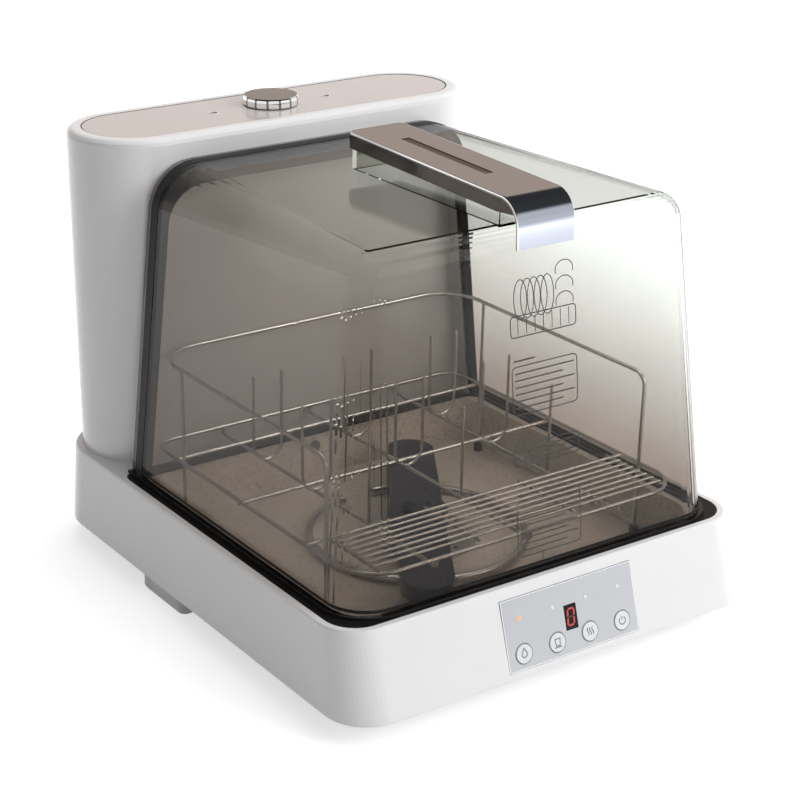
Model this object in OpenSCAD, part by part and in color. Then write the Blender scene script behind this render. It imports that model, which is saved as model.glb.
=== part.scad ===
// Countertop dishwasher: a low white base with the wash tub, a tank tower at the rear and a
// clear smoked hood that swings up on a rod at its rear top edge. X is width, Y is depth with
// the front at minus Y, Z is up, and the origin is at floor level under the middle.

/* [Base] */
// Width of the base at its rim
base_w = 400; // [380:1:440]
// Depth of the base at its rim
base_d = 468; // [450:1:500]
// Height of the base shell from its lower edge to its rim
base_h = 70; // [68:1:90]
// How far each side skirt leans out at its lower edge
side_flare = 5; // [2:0.5:10]
// How far the front skirt leans out at its lower edge
front_flare = 22; // [16:0.5:28]
// Plan radius of the base's front corners
front_r = 33; // [28:1:45]
// Plan radius of the base's rear corners
rear_r = 54; // [40:1:56]
// Wall of the base shell
base_wall = 3; // [2.4:0.1:4]
// Height of the feet under the base's lower edge
foot_h = 20; // [14:1:30]

/* [Tub] */
// Width of the flat rim outside the seal
rim_land = 6; // [4:0.5:9]
// Width of the ledge that carries the seal
ledge_w = 15; // [13:0.5:17]
// Wall of the wash tub
tub_wall = 2.5; // [1.8:0.1:3]
// Depth of the wash tub from the rim to its floor
tub_depth = 42; // [38:1:44]
// Height of the seal ring
seal_h = 2.2; // [1.6:0.1:2.6]

/* [Tower] */
// How far the tower stands in from the rim at each side
tower_step = 7; // [4:0.5:14]
// Depth of the tank tower
tower_d = 113; // [104:1:118]
// Height of the tank tower above the rim
tower_h = 286; // [282:1:320]
// Height of the cap on top of the tower
cap_h = 11; // [9:0.5:14]
// Edge radius of the tower's cap
cap_edge = 6; // [3:0.5:8]
// Wall of the tower shell
tower_wall = 3; // [2.4:0.1:4]
// Margin of the cap around the top panel
panel_margin = 12; // [9:0.5:18]
// Diameter of the fill knob
knob_d = 49; // [44:1:56]
// Height of the fill knob above the top panel
knob_h = 9; // [6:0.5:14]
// Inner diameter of the fill neck
neck_bore = 30; // [24:1:32]

/* [Hood] */
// How far the hood's foot stands in from the rim at each side
hood_step = 17; // [15:0.5:20]
// How far each side of the hood leans in at the top
hood_side_lean = 25; // [18:1:30]
// How far the front of the hood leans back at the top
hood_front_lean = 31; // [22:1:38]
// Height of the hood above the rim
hood_h = 268; // [258:1:274]
// Wall of the hood
hood_wall = 3; // [2.4:0.1:3.6]
// Plan radius of the hood's front corners at its foot
hood_foot_r = 35; // [28:1:42]
// Edge radius of the hood's front top corners
hood_front_r = 22; // [18:1:28]
// Edge radius of the hood's rear top corners
hood_rear_r = 42; // [34:1:46]
// Gap between the hood's rear edge and the tower
hood_gap = 3.5; // [3:0.1:4.5]
// Gap between the hood's foot and the seal
foot_gap = 0.7; // [0.5:0.1:1.2]
// Diameter of the hinge rod
rod_d = 5; // [4:0.1:5.2]
// Radial play of the hood's knuckles on the hinge rod
rod_play = 0.08; // [0.05:0.01:0.1]

/* [Handle] */
// Width of the handle strap
strap_w = 54; // [46:1:64]
// Thickness of the handle strap
strap_t = 2.6; // [2:0.1:3]
// Length of the strap's flat top
strap_len = 200; // [180:1:210]
// Rise of the strap above the hood at its rear end
strap_rise = 31; // [26:1:36]
// Radius of the strap's fold at the front
fold_r = 22; // [18:1:26]
// Drop of the folded front below the strap's top
fold_drop = 37; // [33:1:42]
// Height of the strap's skirts
skirt_h = 14; // [11:0.5:17]

/* [Rack] */
// Gap between each side rail of the rack and the hood's foot
rack_gap = 25; // [23:0.5:32]
// Diameter of the rack's wire
wire_d = 3.4; // [2.8:0.1:4]
// Height of the lower tray above the tub floor
tray_rise = 65; // [62:1:70]
// Height of the upper rails above the tray
rail_rise = 82; // [70:1:90]
// Height of the prongs above the tray
prong_h = 74; // [55:1:80]
// Width of a forked prong between its two legs
prong_w = 28; // [22:1:36]
// Spacing of the wires in the cutlery shelf
shelf_pitch = 8.3; // [7.5:0.1:9]

/* [Spray arm] */
// Radius that the spray arm sweeps
arm_r = 150; // [135:1:151]
// Width of the spray arm
arm_w = 43; // [36:1:46]
// Thickness of the spray arm
arm_t = 14; // [11:0.5:15]
// Diameter of the pivot under the spray arm
pivot_d = 16; // [12:0.5:18]
// Angle at which the arm stands, measured from the depth axis
arm_angle = 32.6; // [0:0.1:90]

/* [Control panel] */
// Width of the control panel
panel_w = 132; // [124:1:140]
// Height of the control panel along the sloping face
panel_h = 58; // [54:1:59]
// Offset of the control panel from the middle
panel_x = 9; // [0:0.5:20]
// Thickness of the control panel
panel_t = 1.6; // [1.2:0.1:2]
// Diameter of the buttons
button_d = 16.5; // [14:0.5:18]
// Spacing of the buttons
button_pitch = 33.3; // [28:0.1:35]
// Travel of the buttons
button_travel = 0.8; // [0.5:0.1:1.2]
// Width of the display window
window_w = 12.2; // [10:0.1:14]
// Height of the display window
window_h = 20.3; // [16:0.1:21]

/* [Hidden] */

eps = 0.01;
gap = 0.3;
edge_fn = 32;

// Levels and depths of the base
base_z = foot_h;
rim_z = foot_h + base_h;
total_d = base_d + front_flare;
y_front = -total_d / 2 + front_flare;
y_rear = total_d / 2;
face_angle = atan(front_flare / base_h);
face_len = base_h / cos(face_angle);
plate_t = 2.5;
plate_top = base_z + plate_t;

// Seal ledge and tub
land_hw = base_w / 2 - rim_land;
land_y0 = y_front + rim_land;
land_r = front_r - rim_land;
land_rear_r = 16;
deck_t = 3;
flange_t = 2.4;
flange_top = rim_z - 2.5;
flange_z = flange_top - flange_t;
lip_t = 3;
lip_w = 6;
tub_hw = land_hw - ledge_w - 7;
tub_y0 = land_y0 + ledge_w;
tub_taper = 6;
tub_floor = rim_z - tub_depth;
tub_r = 28;

// Tower
tower_hw = base_w / 2 - tower_step;
tower_y0 = y_rear - tower_d;
tower_y = y_rear - tower_d / 2;
tower_r = tower_d / 2 - 0.5;
tower_top = rim_z + tower_h;
cap_z = tower_top - cap_h;
panel_recess = 1.6;
top_panel_t = 1.2;
top_panel_z = tower_top - panel_recess;
vent_x = 58;
vent_d = 6.5;
knob_edge = 0.8;
land_y1 = tower_y0 - 2;
tub_y1 = land_y1 - ledge_w + 3;

// Hood
hood_hw = base_w / 2 - hood_step;
hood_y0 = y_front + 12;
hood_y1 = tower_y0 - hood_gap;
hood_z = flange_top + seal_h + foot_gap;
hood_top = rim_z + hood_h;
hood_top_hw = hood_hw - hood_side_lean;
hood_top_y0 = hood_y0 + hood_front_lean;
foot_flange = 4;
foot_flange_h = 2.5;
rear_cx = hood_top_hw - hood_rear_r;
rear_cz = hood_top - hood_rear_r;

// Hinge at the hood's rear top edge
knuckle_r = 4.5;
fixed_knuckle_r = 4;
rod_z = hood_top - hood_wall - knuckle_r;
rod_y = hood_y1 - 8.5;
rod_len = 200;
knuckle_len = 20;
fixed_knuckles = [-80, 0, 80];
hood_knuckle_places = [-58, -22, 22, 58];

// Gasket and the fixed frame behind it
gasket_t = 6.5;
gasket_y0 = rod_y - 11;
gasket_w = 6.5;
gasket_fit = 0.1;
frame_gap = 4;
frame_t = 3;
frame_drop = 9;
frame_y0 = gasket_y0 + gasket_w + 1;

// Handle
strap_y1 = hood_top_y0 + strap_len + 9;
strap_y0 = strap_y1 - strap_len;
strap_z1 = hood_top + strap_rise;
strap_fall = 6;
strap_z0 = strap_z1 - strap_fall;
strap_slope = atan(strap_fall / strap_len);
riser_wall = 3;
riser_inset = 3;
slot_len = 110;
slot_w = 8;
slot_depth = 1.2;
slot_back = -96;
skirt_in = 1.2;
skirt_t = 1.5;
strap_rear_r = 6;

// Rack
leg_x = hood_hw - rack_gap;
leg_y0 = tub_y0 + 62;
leg_y1 = tub_y1 - 40;
foot_cap_d = 8;
foot_cap_h = 8;
rack_z0 = tub_floor + 0.3;
tray_z = tub_floor + tray_rise;
rail_z = tray_z + rail_rise;
rail_y1 = tower_y0 - frame_t - 4;
rail_r = 12;
rail_rear_r = 40;
sill_z = rack_z0 + foot_cap_h + 2;
tray_hw = leg_x + wire_d - 0.2;
tray_y0 = hood_y0 + 21;
tray_y1 = rail_y1;
tray_r = 34;
tray_rear_r = 20;
grid_z = tray_z - wire_d + 0.3;
grid_y = [leg_y0 + 124, leg_y1 + 12];
runner_z = grid_z - wire_d + 0.3;
runner_x = [-0.58 * leg_x, 0, 0.58 * leg_x];
prong_d = wire_d - 0.8;
prong_y = [leg_y0 + 114, leg_y0 + 190];
post_y = leg_y0 + 40;
shelf_wires = 8;
shelf_z = tray_z + wire_d - 0.5;
shelf_hw = tray_hw - 18;
shelf_y1 = tray_y0 + (shelf_wires + 1) * shelf_pitch;

// Spray arm, its pivot and what lies under it
hub_y = -42;
arm_z = tub_floor + 13;
pivot_play = 0.08;
pivot_rise = 8;
boss_d = 34;
jet_d = 2.4;
sump_d = 92;
sump_depth = 17;
sump_wall = 2;
cup_d = 44;
cup_x = tub_hw - 40;
cup_y = tub_y0 + 38;
cup_depth = 17;
cup_z = tub_floor - cup_depth;
cup_wall = 1.6;
heater_r = 92;
heater_d = 7;

// Control panel
panel_drop = 9.4;
panel_proud = 0.2;
button_gap = 0.35;
button_drop = 45.5;
light_drop = 17;
light_d = 3;
button_proud = 0.5;
board_t = 1.6;
board_gap = 8;
board_hole_x = panel_w / 2 - 8;
switch_h = 0.8;
button_stem_d = 6;

// Pumps and rear pocket
pump_y = tower_y - 6;
wash_x = 45;
wash_z = plate_top + 33;
wash_port = 12;
drain_port = 9.5;
pocket_x = -95;
pocket_w = 52;
pocket_h = 36;
pocket_d = 22;
pocket_z = base_z + 30;
drain_x = pocket_x - drain_port;
drain_z = pocket_z;
spigot_d = 18;
spigot_bore = 13;
spigot_len = 20;
spigot_y = y_rear - pocket_d - 2;
inlet_x = 95;
inlet_w = 30;
inlet_h = 24;
hose_d = 12;
hose_z = plate_top + 12.5;
hose_x = 28;
hose_gap = 0.1;
stub_y = hub_y + 60;
tank_hose_z = rim_z - 15;
shaft_d = 5;

// Reservoir inside the tower
tank_gap = 4;
tank_wall = 2;
tank_z0 = rim_z + 62;
tank_z1 = cap_z - 12;
neck_wall = 2.5;
neck_top = top_panel_z + top_panel_t - 0.4;
stem_x = -90;
stem_d = 6;
float_d = 26;
float_h = 22;
float_travel = 40;

// Feet
foot_x = base_w / 2 - 55;
foot_front_y = y_front + 48;
foot_rear_y = y_rear - 42;
foot_d = 36;
side_foot_l = 70;
side_foot_w = 34;
side_foot_y = 55;

screw_spots = [
    for (s = [-1, 1], y = [-110, 0, 120]) [s * (base_w / 2 - base_wall - 9.5), y]
];

// Plan outline with its own radii at the front and at the rear
module plan(hw, y0, y1, rf, rb) {
    translate([-hw, y0 + rf]) square([2 * hw, y1 - y0 - rf - rb]);
    translate([-hw + rf, y0]) square([2 * (hw - rf), rf + 1]);
    translate([-hw + rb, y1 - rb - 1]) square([2 * (hw - rb), rb + 1]);
    for (s = [-1, 1]) {
        translate([s * (hw - rf), y0 + rf]) circle(r = rf, $fn = 64);
        translate([s * (hw - rb), y1 - rb]) circle(r = rb, $fn = 64);
    }
}

// Slab of a plan outline, one layer of a loft
module slab(z, h, hw, y0, y1, rf, rb) {
    translate([0, 0, z]) linear_extrude(h) plan(hw, y0, y1, rf, rb, $fn = edge_fn);
}

// Plan outline with square rear corners
module open_plan(hw, y0, y1, rf) {
    translate([-hw, y0 + rf]) square([2 * hw, y1 - y0 - rf]);
    translate([-hw + rf, y0]) square([2 * (hw - rf), rf + 1]);
    for (s = [-1, 1]) translate([s * (hw - rf), y0 + rf]) circle(r = rf, $fn = edge_fn);
}

// Points along an arc
function arc(c, r, a0, a1, n) = [
    for (i = [0:n]) c + r * [cos(a0 + (a1 - a0) * i / n), sin(a0 + (a1 - a0) * i / n)]
];

// Solid whose side view in Y and Z is the child outline, centred on X
module along_x(width, x = 0) {
    translate([x - width / 2, 0, 0]) rotate([90, 0, 90]) linear_extrude(width) children();
}

// Round bar between two points
module bar(a, b, d) {
    v = b - a;
    len = norm(v);
    translate(a) rotate([0, acos(v[2] / len), atan2(v[1], v[0])]) cylinder(d = d, h = len, $fn = 24);
}

// Quarter bend of round bar in the plan, from the start angle on
module bend(c, r, a0, d) {
    translate(c) rotate([0, 0, a0]) rotate_extrude(angle = 90, $fn = 48) translate([r, 0]) circle(d = d, $fn = 16);
}

// Place on the sloping front face: x from the middle, s down from the rim, Z outwards
module on_face(x, s) {
    translate([x, y_front - s * sin(face_angle), rim_z - s * cos(face_angle)])
        rotate([90 - face_angle, 0, 0]) children();
}

module button_place(i) {
    on_face(panel_x + (i - 2.5) * button_pitch, panel_drop + button_drop) children();
}

module light_place(i) {
    on_face(panel_x + (i - 2.5) * button_pitch, panel_drop + light_drop) children();
}

module window_place() {
    on_face(panel_x, panel_drop + panel_h / 2) children();
}

module base_outer() {
    hull() {
        slab(base_z, 1, base_w / 2 + side_flare, y_front - front_flare, y_rear, front_r + 4, rear_r);
        slab(rim_z - 3, 1, base_w / 2, y_front, y_rear, front_r, rear_r);
        slab(rim_z - 1, 1, base_w / 2 - 1, y_front + 1, y_rear - 1, front_r - 1, rear_r - 1);
    }
}

module base_inner() {
    w = base_wall;
    hull() {
        slab(base_z - 1, 1, base_w / 2 + side_flare - w, y_front - front_flare + w, y_rear - w, front_r + 1, rear_r - w);
        slab(rim_z - deck_t - 1, 1, base_w / 2 - w, y_front + w, y_rear - w, front_r - w, rear_r - w);
    }
}

module base_shell() {
    color("white") {
        difference() {
            base_outer();
            base_inner();
            slab(flange_z - 1, 10, land_hw, land_y0, land_y1, land_r, land_rear_r);
            on_face(panel_x, panel_drop + panel_h / 2) translate([0, 0, -panel_t + panel_proud + 10])
                cube([panel_w + 2 * gap, panel_h + 2 * gap, 20], center = true);
            for (i = [1:4]) button_place(i) cylinder(d = button_d + 2 * button_gap, h = 20, center = true, $fn = 48);
            for (i = [1:4]) light_place(i) cylinder(d = light_d + 0.2, h = 20, center = true, $fn = 24);
            window_place() cube([window_w, window_h, 20], center = true);
            translate([pocket_x, y_rear, pocket_z]) cube([pocket_w, 20, pocket_h], center = true);
            translate([inlet_x, y_rear, pocket_z]) cube([inlet_w, 20, inlet_h], center = true);
            translate([0, tower_y, rim_z - 10]) cylinder(d = hose_d + 4, h = 20, $fn = 32);
        }
        difference() {
            slab(flange_z - lip_t, lip_t, land_hw + 1, land_y0 - 1, land_y1 + 1, land_r + 1, land_rear_r);
            slab(flange_z - lip_t - 1, lip_t + 2, land_hw - lip_w, land_y0 + lip_w, land_y1 - lip_w,
                land_r - lip_w, land_rear_r - lip_w);
        }
        difference() {
            slab(flange_z - lip_t, rim_z - deck_t - flange_z + lip_t + 0.5, land_hw + 2.5, land_y0 - 2.5, land_y1 + 2.5,
                land_r + 2.5, land_rear_r + 2.5);
            slab(flange_z - lip_t - 1, 20, land_hw, land_y0, land_y1, land_r, land_rear_r);
        }
        screw_bosses();
        rear_pocket();
        board_posts();
    }
}

// Posts behind the front wall, with a peg each that the control board sits on
module board_posts() {
    for (s = [-1, 1]) on_face(panel_x + s * board_hole_x, panel_drop + panel_h / 2) {
        translate([0, 0, -board_gap]) cylinder(d = 7, h = board_gap - base_wall + 0.2, $fn = 32);
        translate([0, 0, -board_gap - board_t - 1]) cylinder(d = 3, h = board_t + 1.5, $fn = 24);
    }
}

module screw_bosses() {
    for (p = screw_spots) translate([p[0], p[1], plate_top + gap]) difference() {
        cylinder(d = 11, h = flange_z - lip_t - plate_top - gap + eps, $fn = 32);
        translate([0, 0, -1]) cylinder(d = 3, h = 12, $fn = 24);
    }
}

module rear_pocket() {
    difference() {
        translate([pocket_x, y_rear - pocket_d / 2, pocket_z])
            cube([pocket_w + 2 * base_wall, pocket_d, pocket_h + 2 * base_wall], center = true);
        translate([pocket_x, y_rear - pocket_d / 2 + base_wall, pocket_z])
            cube([pocket_w, pocket_d, pocket_h], center = true);
        translate([pocket_x, y_rear, pocket_z]) rotate([90, 0, 0]) cylinder(d = spigot_d + 0.2, h = 60, $fn = 48);
    }
}

module base_plate() {
    inset = base_wall + gap;
    color("lightgray") difference() {
        slab(base_z, plate_t, base_w / 2 + side_flare - inset - 0.3, y_front - front_flare + inset + 1.2, y_rear - inset,
            front_r, rear_r - inset);
        for (p = screw_spots) translate([p[0], p[1], 0]) cylinder(d = 4, h = 2 * rim_z, $fn = 24);
        for (i = [-5:5]) translate([-110 + i * 6, 60, 0]) cube([3, 40, 2 * rim_z]);
    }
}

module base_screws() {
    color("silver") for (p = screw_spots) translate([p[0], p[1], base_z - 1.8]) {
        cylinder(d = 7, h = 1.8, $fn = 24);
        cylinder(d = 2.9, h = 12, $fn = 24);
    }
}

// Foot blocks beside the middle, level with the skirts
module side_feet() {
    color("gainsboro") for (s = [-1, 1]) translate([s * (base_w / 2 - 1 - side_foot_w / 2), side_foot_y, 0]) hull() {
        for (x = [-1, 1], y = [-1, 1]) translate([x * (side_foot_w / 2 - 8), y * (side_foot_l / 2 - 8), 0]) {
            cylinder(r = 6, h = 1, $fn = edge_fn);
            translate([0, 0, 3]) cylinder(r = 8, h = foot_h - 3, $fn = edge_fn);
        }
    }
}

module round_foot(x, y) {
    translate([x, y, 0]) difference() {
        union() {
            cylinder(d1 = foot_d - 4, d2 = foot_d, h = 3, $fn = 48);
            translate([0, 0, 3]) cylinder(d = foot_d, h = foot_h - 3, $fn = 48);
        }
        translate([0, 0, -1]) cylinder(d = 12, h = 7, $fn = 32);
    }
}

module front_feet() {
    color("dimgray") for (s = [-1, 1]) round_foot(s * foot_x, foot_front_y);
}

module rear_feet() {
    color("dimgray") for (s = [-1, 1]) round_foot(s * foot_x, foot_rear_y);
}

module tub_loft(grow, z) {
    hull() {
        slab(z, 1, tub_hw - tub_taper + grow, tub_y0 + tub_taper - grow, tub_y1 - tub_taper + grow, tub_r - 4, tub_r - 4);
        slab(flange_top - 1, 1, tub_hw + grow, tub_y0 - grow, tub_y1 + grow, tub_r, tub_r);
    }
}

module wash_tub() {
    color("whitesmoke") difference() {
        union() {
            tub_loft(tub_wall, tub_floor - tub_wall);
            slab(flange_z, flange_t, land_hw - gap, land_y0 + gap, land_y1 - gap, land_r - gap, land_rear_r - gap);
            translate([cup_x, cup_y, cup_z - gap - tub_wall])
                cylinder(d = cup_d + 2 * gap + 2 * tub_wall, h = tub_floor - cup_z + gap + tub_wall, $fn = 64);
        }
        tub_loft(0, tub_floor);
        slab(flange_top - 0.5, 10, tub_hw, tub_y0, tub_y1, tub_r, tub_r);
        translate([0, hub_y, 0]) cylinder(d = sump_d - 2 * sump_wall - 2, h = rim_z, $fn = 64);
        translate([cup_x, cup_y, cup_z - gap]) cylinder(d = cup_d + 2 * gap, h = rim_z, $fn = 64);
        heater_ends() cylinder(d = heater_d + 0.4, h = rim_z, $fn = 24);
        translate([0, tub_y1 - 10, tank_hose_z]) rotate([-90, 0, 0]) cylinder(d = hose_d + 2 * hose_gap, h = 20, $fn = 32);
    }
}

module tub_seal() {
    color("black") difference() {
        slab(flange_top, seal_h, land_hw - 2 * gap, land_y0 + 2 * gap, land_y1 - 2 * gap, land_r - gap, land_rear_r - gap);
        slab(flange_top - 1, 5, land_hw - ledge_w, land_y0 + ledge_w - 2, land_y1 - ledge_w, land_r - 4, land_rear_r - 5);
    }
}

module sump() {
    color("gray") translate([0, hub_y, tub_floor - tub_wall]) difference() {
        union() {
            translate([0, 0, -sump_depth]) cylinder(d = sump_d, h = sump_depth, $fn = 64);
            translate([0, 0, -4]) cylinder(d = sump_d + 14, h = 4, $fn = 64);
            for (x = [-hose_x, 0, hose_x]) translate([x, 30, hose_z - tub_floor + tub_wall]) rotate([-90, 0, 0])
                cylinder(d = hose_d, h = stub_y - hub_y - 30, $fn = 32);
        }
        translate([0, 0, sump_wall - sump_depth]) cylinder(d = sump_d - 2 * sump_wall, h = sump_depth, $fn = 64);
        for (x = [-hose_x, 0, hose_x]) translate([x, 30, hose_z - tub_floor + tub_wall]) rotate([-90, 0, 0])
            cylinder(d = hose_d - 3, h = stub_y, $fn = 32);
    }
}

module filter_plate() {
    color("silver") translate([0, hub_y, tub_floor]) difference() {
        cylinder(d = sump_d + 10, h = 1.2, $fn = 64);
        translate([0, 0, -1]) cylinder(d = boss_d + 0.6, h = 4, $fn = 48);
        for (i = [0:17]) rotate([0, 0, i * 20]) translate([30, 0, -1]) cylinder(d = 5, h = 4, $fn = 24);
        for (i = [0:17]) rotate([0, 0, i * 20 + 10]) translate([39, 0, -1]) cylinder(d = 5, h = 4, $fn = 24);
    }
}

// Lift-out strainer cup with a bail across its mouth
module filter_cup() {
    color("silver") translate([cup_x, cup_y, cup_z]) {
        difference() {
            union() {
                cylinder(d = cup_d, h = cup_depth + 1, $fn = 64);
                translate([0, 0, cup_depth + gap]) cylinder(d = cup_d + 6, h = 1.4, $fn = 64);
            }
            translate([0, 0, cup_wall]) cylinder(d = cup_d - 2 * cup_wall, h = cup_depth + 5, $fn = 64);
        }
        for (s = [-1, 1]) translate([s * (cup_d / 2 + 1.2), 0, cup_depth + 1]) cylinder(d = 2.4, h = 7, $fn = 16);
        translate([-cup_d / 2 - 1.2, 0, cup_depth + 8]) rotate([0, 90, 0]) cylinder(d = 2.4, h = cup_d + 2.4, $fn = 16);
    }
}

// Places in the plan where the two ends of the heater turn down
module heater_ends() {
    for (a = [100, 80]) translate([0, hub_y, 0]) rotate([0, 0, a]) translate([heater_r, 0, 0]) children();
}

module heater() {
    lift = heater_d / 2 + 1;
    end = tub_wall + 5;
    color("silver") {
        translate([0, hub_y, tub_floor + lift]) rotate([0, 0, 100]) rotate_extrude(angle = 340, $fn = 96)
            translate([heater_r, 0]) circle(d = heater_d, $fn = 24);
        heater_ends() translate([0, 0, tub_floor - end]) cylinder(d = heater_d, h = lift + end, $fn = 24);
        for (a = [200, 340]) translate([0, hub_y, tub_floor]) rotate([0, 0, a]) translate([heater_r, 0, 0])
            cylinder(d = 6, h = 3, $fn = 24);
    }
}

module spray_pivot() {
    color("dimgray") translate([0, hub_y, 0]) {
        translate([0, 0, tub_floor - tub_wall - sump_depth + sump_wall]) cylinder(d = 24, h = 10, $fn = 48);
        translate([0, 0, tub_floor - tub_wall - 9]) difference() {
            cylinder(d = boss_d, h = arm_z - gap - tub_floor + tub_wall + 9, $fn = 48);
            for (a = [0:60:300]) rotate([0, 0, a]) translate([12, 0, -1]) cylinder(d = 5, h = 8, $fn = 24);
        }
        translate([0, 8, hose_z]) rotate([-90, 0, 0]) cylinder(d = hose_d - 3.2, h = sump_d / 2 - sump_wall - 8.3, $fn = 32);
        translate([0, 0, arm_z - 1]) difference() {
            cylinder(d = pivot_d, h = pivot_rise + 1, $fn = 48);
            translate([0, 0, 2]) cylinder(d = pivot_d - 6, h = pivot_rise + 2, $fn = 48);
        }
    }
}

// Flat bar with round ends and jets, turning on the pivot
module spray_arm() {
    reach = arm_r - arm_w / 2;
    color([0.12, 0.14, 0.22]) translate([0, hub_y, arm_z]) rotate([0, 0, -arm_angle]) difference() {
        union() {
            linear_extrude(arm_t) {
                square([arm_w, 2 * reach], center = true);
                for (s = [-1, 1]) translate([0, s * reach]) circle(d = arm_w, $fn = 64);
            }
            cylinder(d = arm_w + 8, h = arm_t, $fn = 64);
        }
        translate([0, 0, -1]) cylinder(d = pivot_d + 2 * pivot_play, h = pivot_rise + 2, $fn = 48);
        for (s = [-1, 1], k = [0:3]) translate([s * 9, s * (40 + 28 * k), arm_t - 3]) cylinder(d = jet_d, h = 4, $fn = 24);
        for (s = [-1, 1]) translate([-s * 9, s * (reach + 4), arm_t - 3]) cylinder(d = jet_d, h = 4, $fn = 24);
    }
}

module arm_cap() {
    color([0.1, 0.11, 0.18]) translate([0, hub_y, arm_z + arm_t]) {
        cylinder(d = 30, h = 3, $fn = 48);
        translate([0, 0, 3]) cylinder(d1 = 30, d2 = 18, h = 5, $fn = 48);
    }
}

module tower_plan(inset) {
    plan(tower_hw - inset, tower_y0 + inset, y_rear - inset, tower_r - inset, tower_r - inset);
}

module tower_shell() {
    color("white") difference() {
        translate([0, 0, rim_z]) linear_extrude(cap_z - rim_z) tower_plan(0);
        translate([0, 0, rim_z + tower_wall]) linear_extrude(cap_z) tower_plan(tower_wall);
        translate([0, tower_y, rim_z - 1]) cylinder(d = hose_d + 4, h = 20, $fn = 32);
    }
}

module tower_cap() {
    r = cap_edge;
    color("white") difference() {
        union() {
            hull() {
                translate([0, 0, cap_z]) linear_extrude(cap_h - r) tower_plan(0);
                for (t = [30, 55, 75, 90]) translate([0, 0, tower_top - r + r * sin(t) - 0.1])
                    linear_extrude(0.1) tower_plan(r * (1 - cos(t)));
            }
            translate([0, 0, cap_z - 6]) linear_extrude(6 + eps) tower_plan(tower_wall + gap);
        }
        translate([0, 0, cap_z - 7]) linear_extrude(7 + cap_h - 5) tower_plan(tower_wall + 3);
        translate([0, 0, top_panel_z]) linear_extrude(5) tower_plan(panel_margin);
        translate([0, tower_y, cap_z - 1]) cylinder(d = neck_bore + 2 * neck_wall + 1, h = 20, $fn = 64);
        for (s = [-1, 1]) translate([s * vent_x, tower_y, cap_z]) cylinder(d = vent_d, h = 20, $fn = 24);
    }
}

module top_panel() {
    color([0.85, 0.82, 0.82]) difference() {
        translate([0, 0, top_panel_z]) linear_extrude(top_panel_t) tower_plan(panel_margin + gap);
        translate([0, tower_y, top_panel_z - 1]) cylinder(d = neck_bore + 2 * neck_wall + 1, h = 5, $fn = 64);
        for (s = [-1, 1]) translate([s * vent_x, tower_y, top_panel_z - 1]) cylinder(d = vent_d, h = 5, $fn = 24);
    }
}

module water_tank() {
    inset = tower_wall + tank_gap;
    color("lightcyan") difference() {
        translate([0, 0, tank_z0]) linear_extrude(tank_z1 - tank_z0) tower_plan(inset);
        translate([0, 0, tank_z0 + tank_wall]) linear_extrude(tank_z1 - tank_z0 - 2 * tank_wall) tower_plan(inset + tank_wall);
        translate([0, tower_y, tank_z1 - 10]) cylinder(d = neck_bore + 2 * neck_wall + 0.4, h = 20, $fn = 64);
        translate([0, tower_y, tank_z0 - 1]) cylinder(d = hose_d + 2 * hose_gap, h = 10, $fn = 32);
    }
    color("lightcyan") for (s = [-1, 1], t = [-1, 1]) translate([s * 110, tower_y + t * 25, rim_z + tower_wall])
        cylinder(d = 16, h = tank_z0 - rim_z - tower_wall, $fn = 32);
}

module fill_neck() {
    color("white") translate([0, tower_y, 0]) difference() {
        union() {
            translate([0, 0, tank_z1 - 8]) cylinder(d = neck_bore + 2 * neck_wall, h = neck_top - tank_z1 + 8, $fn = 64);
            translate([0, 0, tank_z1]) cylinder(d = neck_bore + 2 * neck_wall + 10, h = 2, $fn = 64);
        }
        translate([0, 0, tank_z1 - 9]) cylinder(d = neck_bore, h = 60, $fn = 64);
    }
}

// Bung in the fill neck, with the post that the knob turns on
module cap_plug() {
    color("dimgray") translate([0, tower_y, 0]) {
        translate([0, 0, neck_top - 16]) cylinder(d = neck_bore - 2 * gap, h = 16, $fn = 64);
        translate([0, 0, neck_top + gap]) cylinder(d = neck_bore + 4, h = 1.5, $fn = 64);
        translate([0, 0, neck_top - eps]) cylinder(d = neck_bore - 2 * gap, h = 1, $fn = 64);
        translate([0, 0, neck_top]) cylinder(d = 8, h = 6.5, $fn = 32);
    }
}

module fill_knob() {
    z = top_panel_z + top_panel_t;
    color("silver") translate([0, tower_y, z]) difference() {
        union() {
            translate([0, 0, knob_edge]) cylinder(d = knob_d, h = knob_h - 2 * knob_edge, $fn = 96);
            translate([0, 0, knob_h - knob_edge]) cylinder(d1 = knob_d, d2 = knob_d - 2 * knob_edge, h = knob_edge, $fn = 96);
        }
        translate([0, 0, -1]) cylinder(d = neck_bore + 9, h = 3.6, $fn = 64);
        translate([0, 0, -1]) cylinder(d = 8 + 2 * pivot_play, h = knob_h - 1.4, $fn = 32);
    }
}

module float_stem() {
    color("white") translate([stem_x, tower_y, tank_z0 + tank_wall]) {
        cylinder(d = stem_d, h = float_h + float_travel + 12, $fn = 32);
        cylinder(d = 18, h = 3, $fn = 32);
        translate([0, 0, float_h + float_travel + 8]) cylinder(d = 14, h = 3, $fn = 32);
    }
}

module tank_float() {
    color("orange") translate([stem_x, tower_y, tank_z0 + tank_wall + 3 + gap]) difference() {
        cylinder(d = float_d, h = float_h, $fn = 48);
        translate([0, 0, -1]) cylinder(d = stem_d + 2 * gap, h = float_h + 2, $fn = 32);
    }
}

// Side view of the hood at its rear plane, shrunk evenly and with its top lowered
module rear_arch(shrink, drop, z0) {
    hull() {
        translate([-hood_hw + shrink, z0]) square([2 * (hood_hw - shrink), 1]);
        for (s = [-1, 1]) translate([s * rear_cx, rear_cz - drop]) circle(r = hood_rear_r - shrink, $fn = 64);
    }
}

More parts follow.
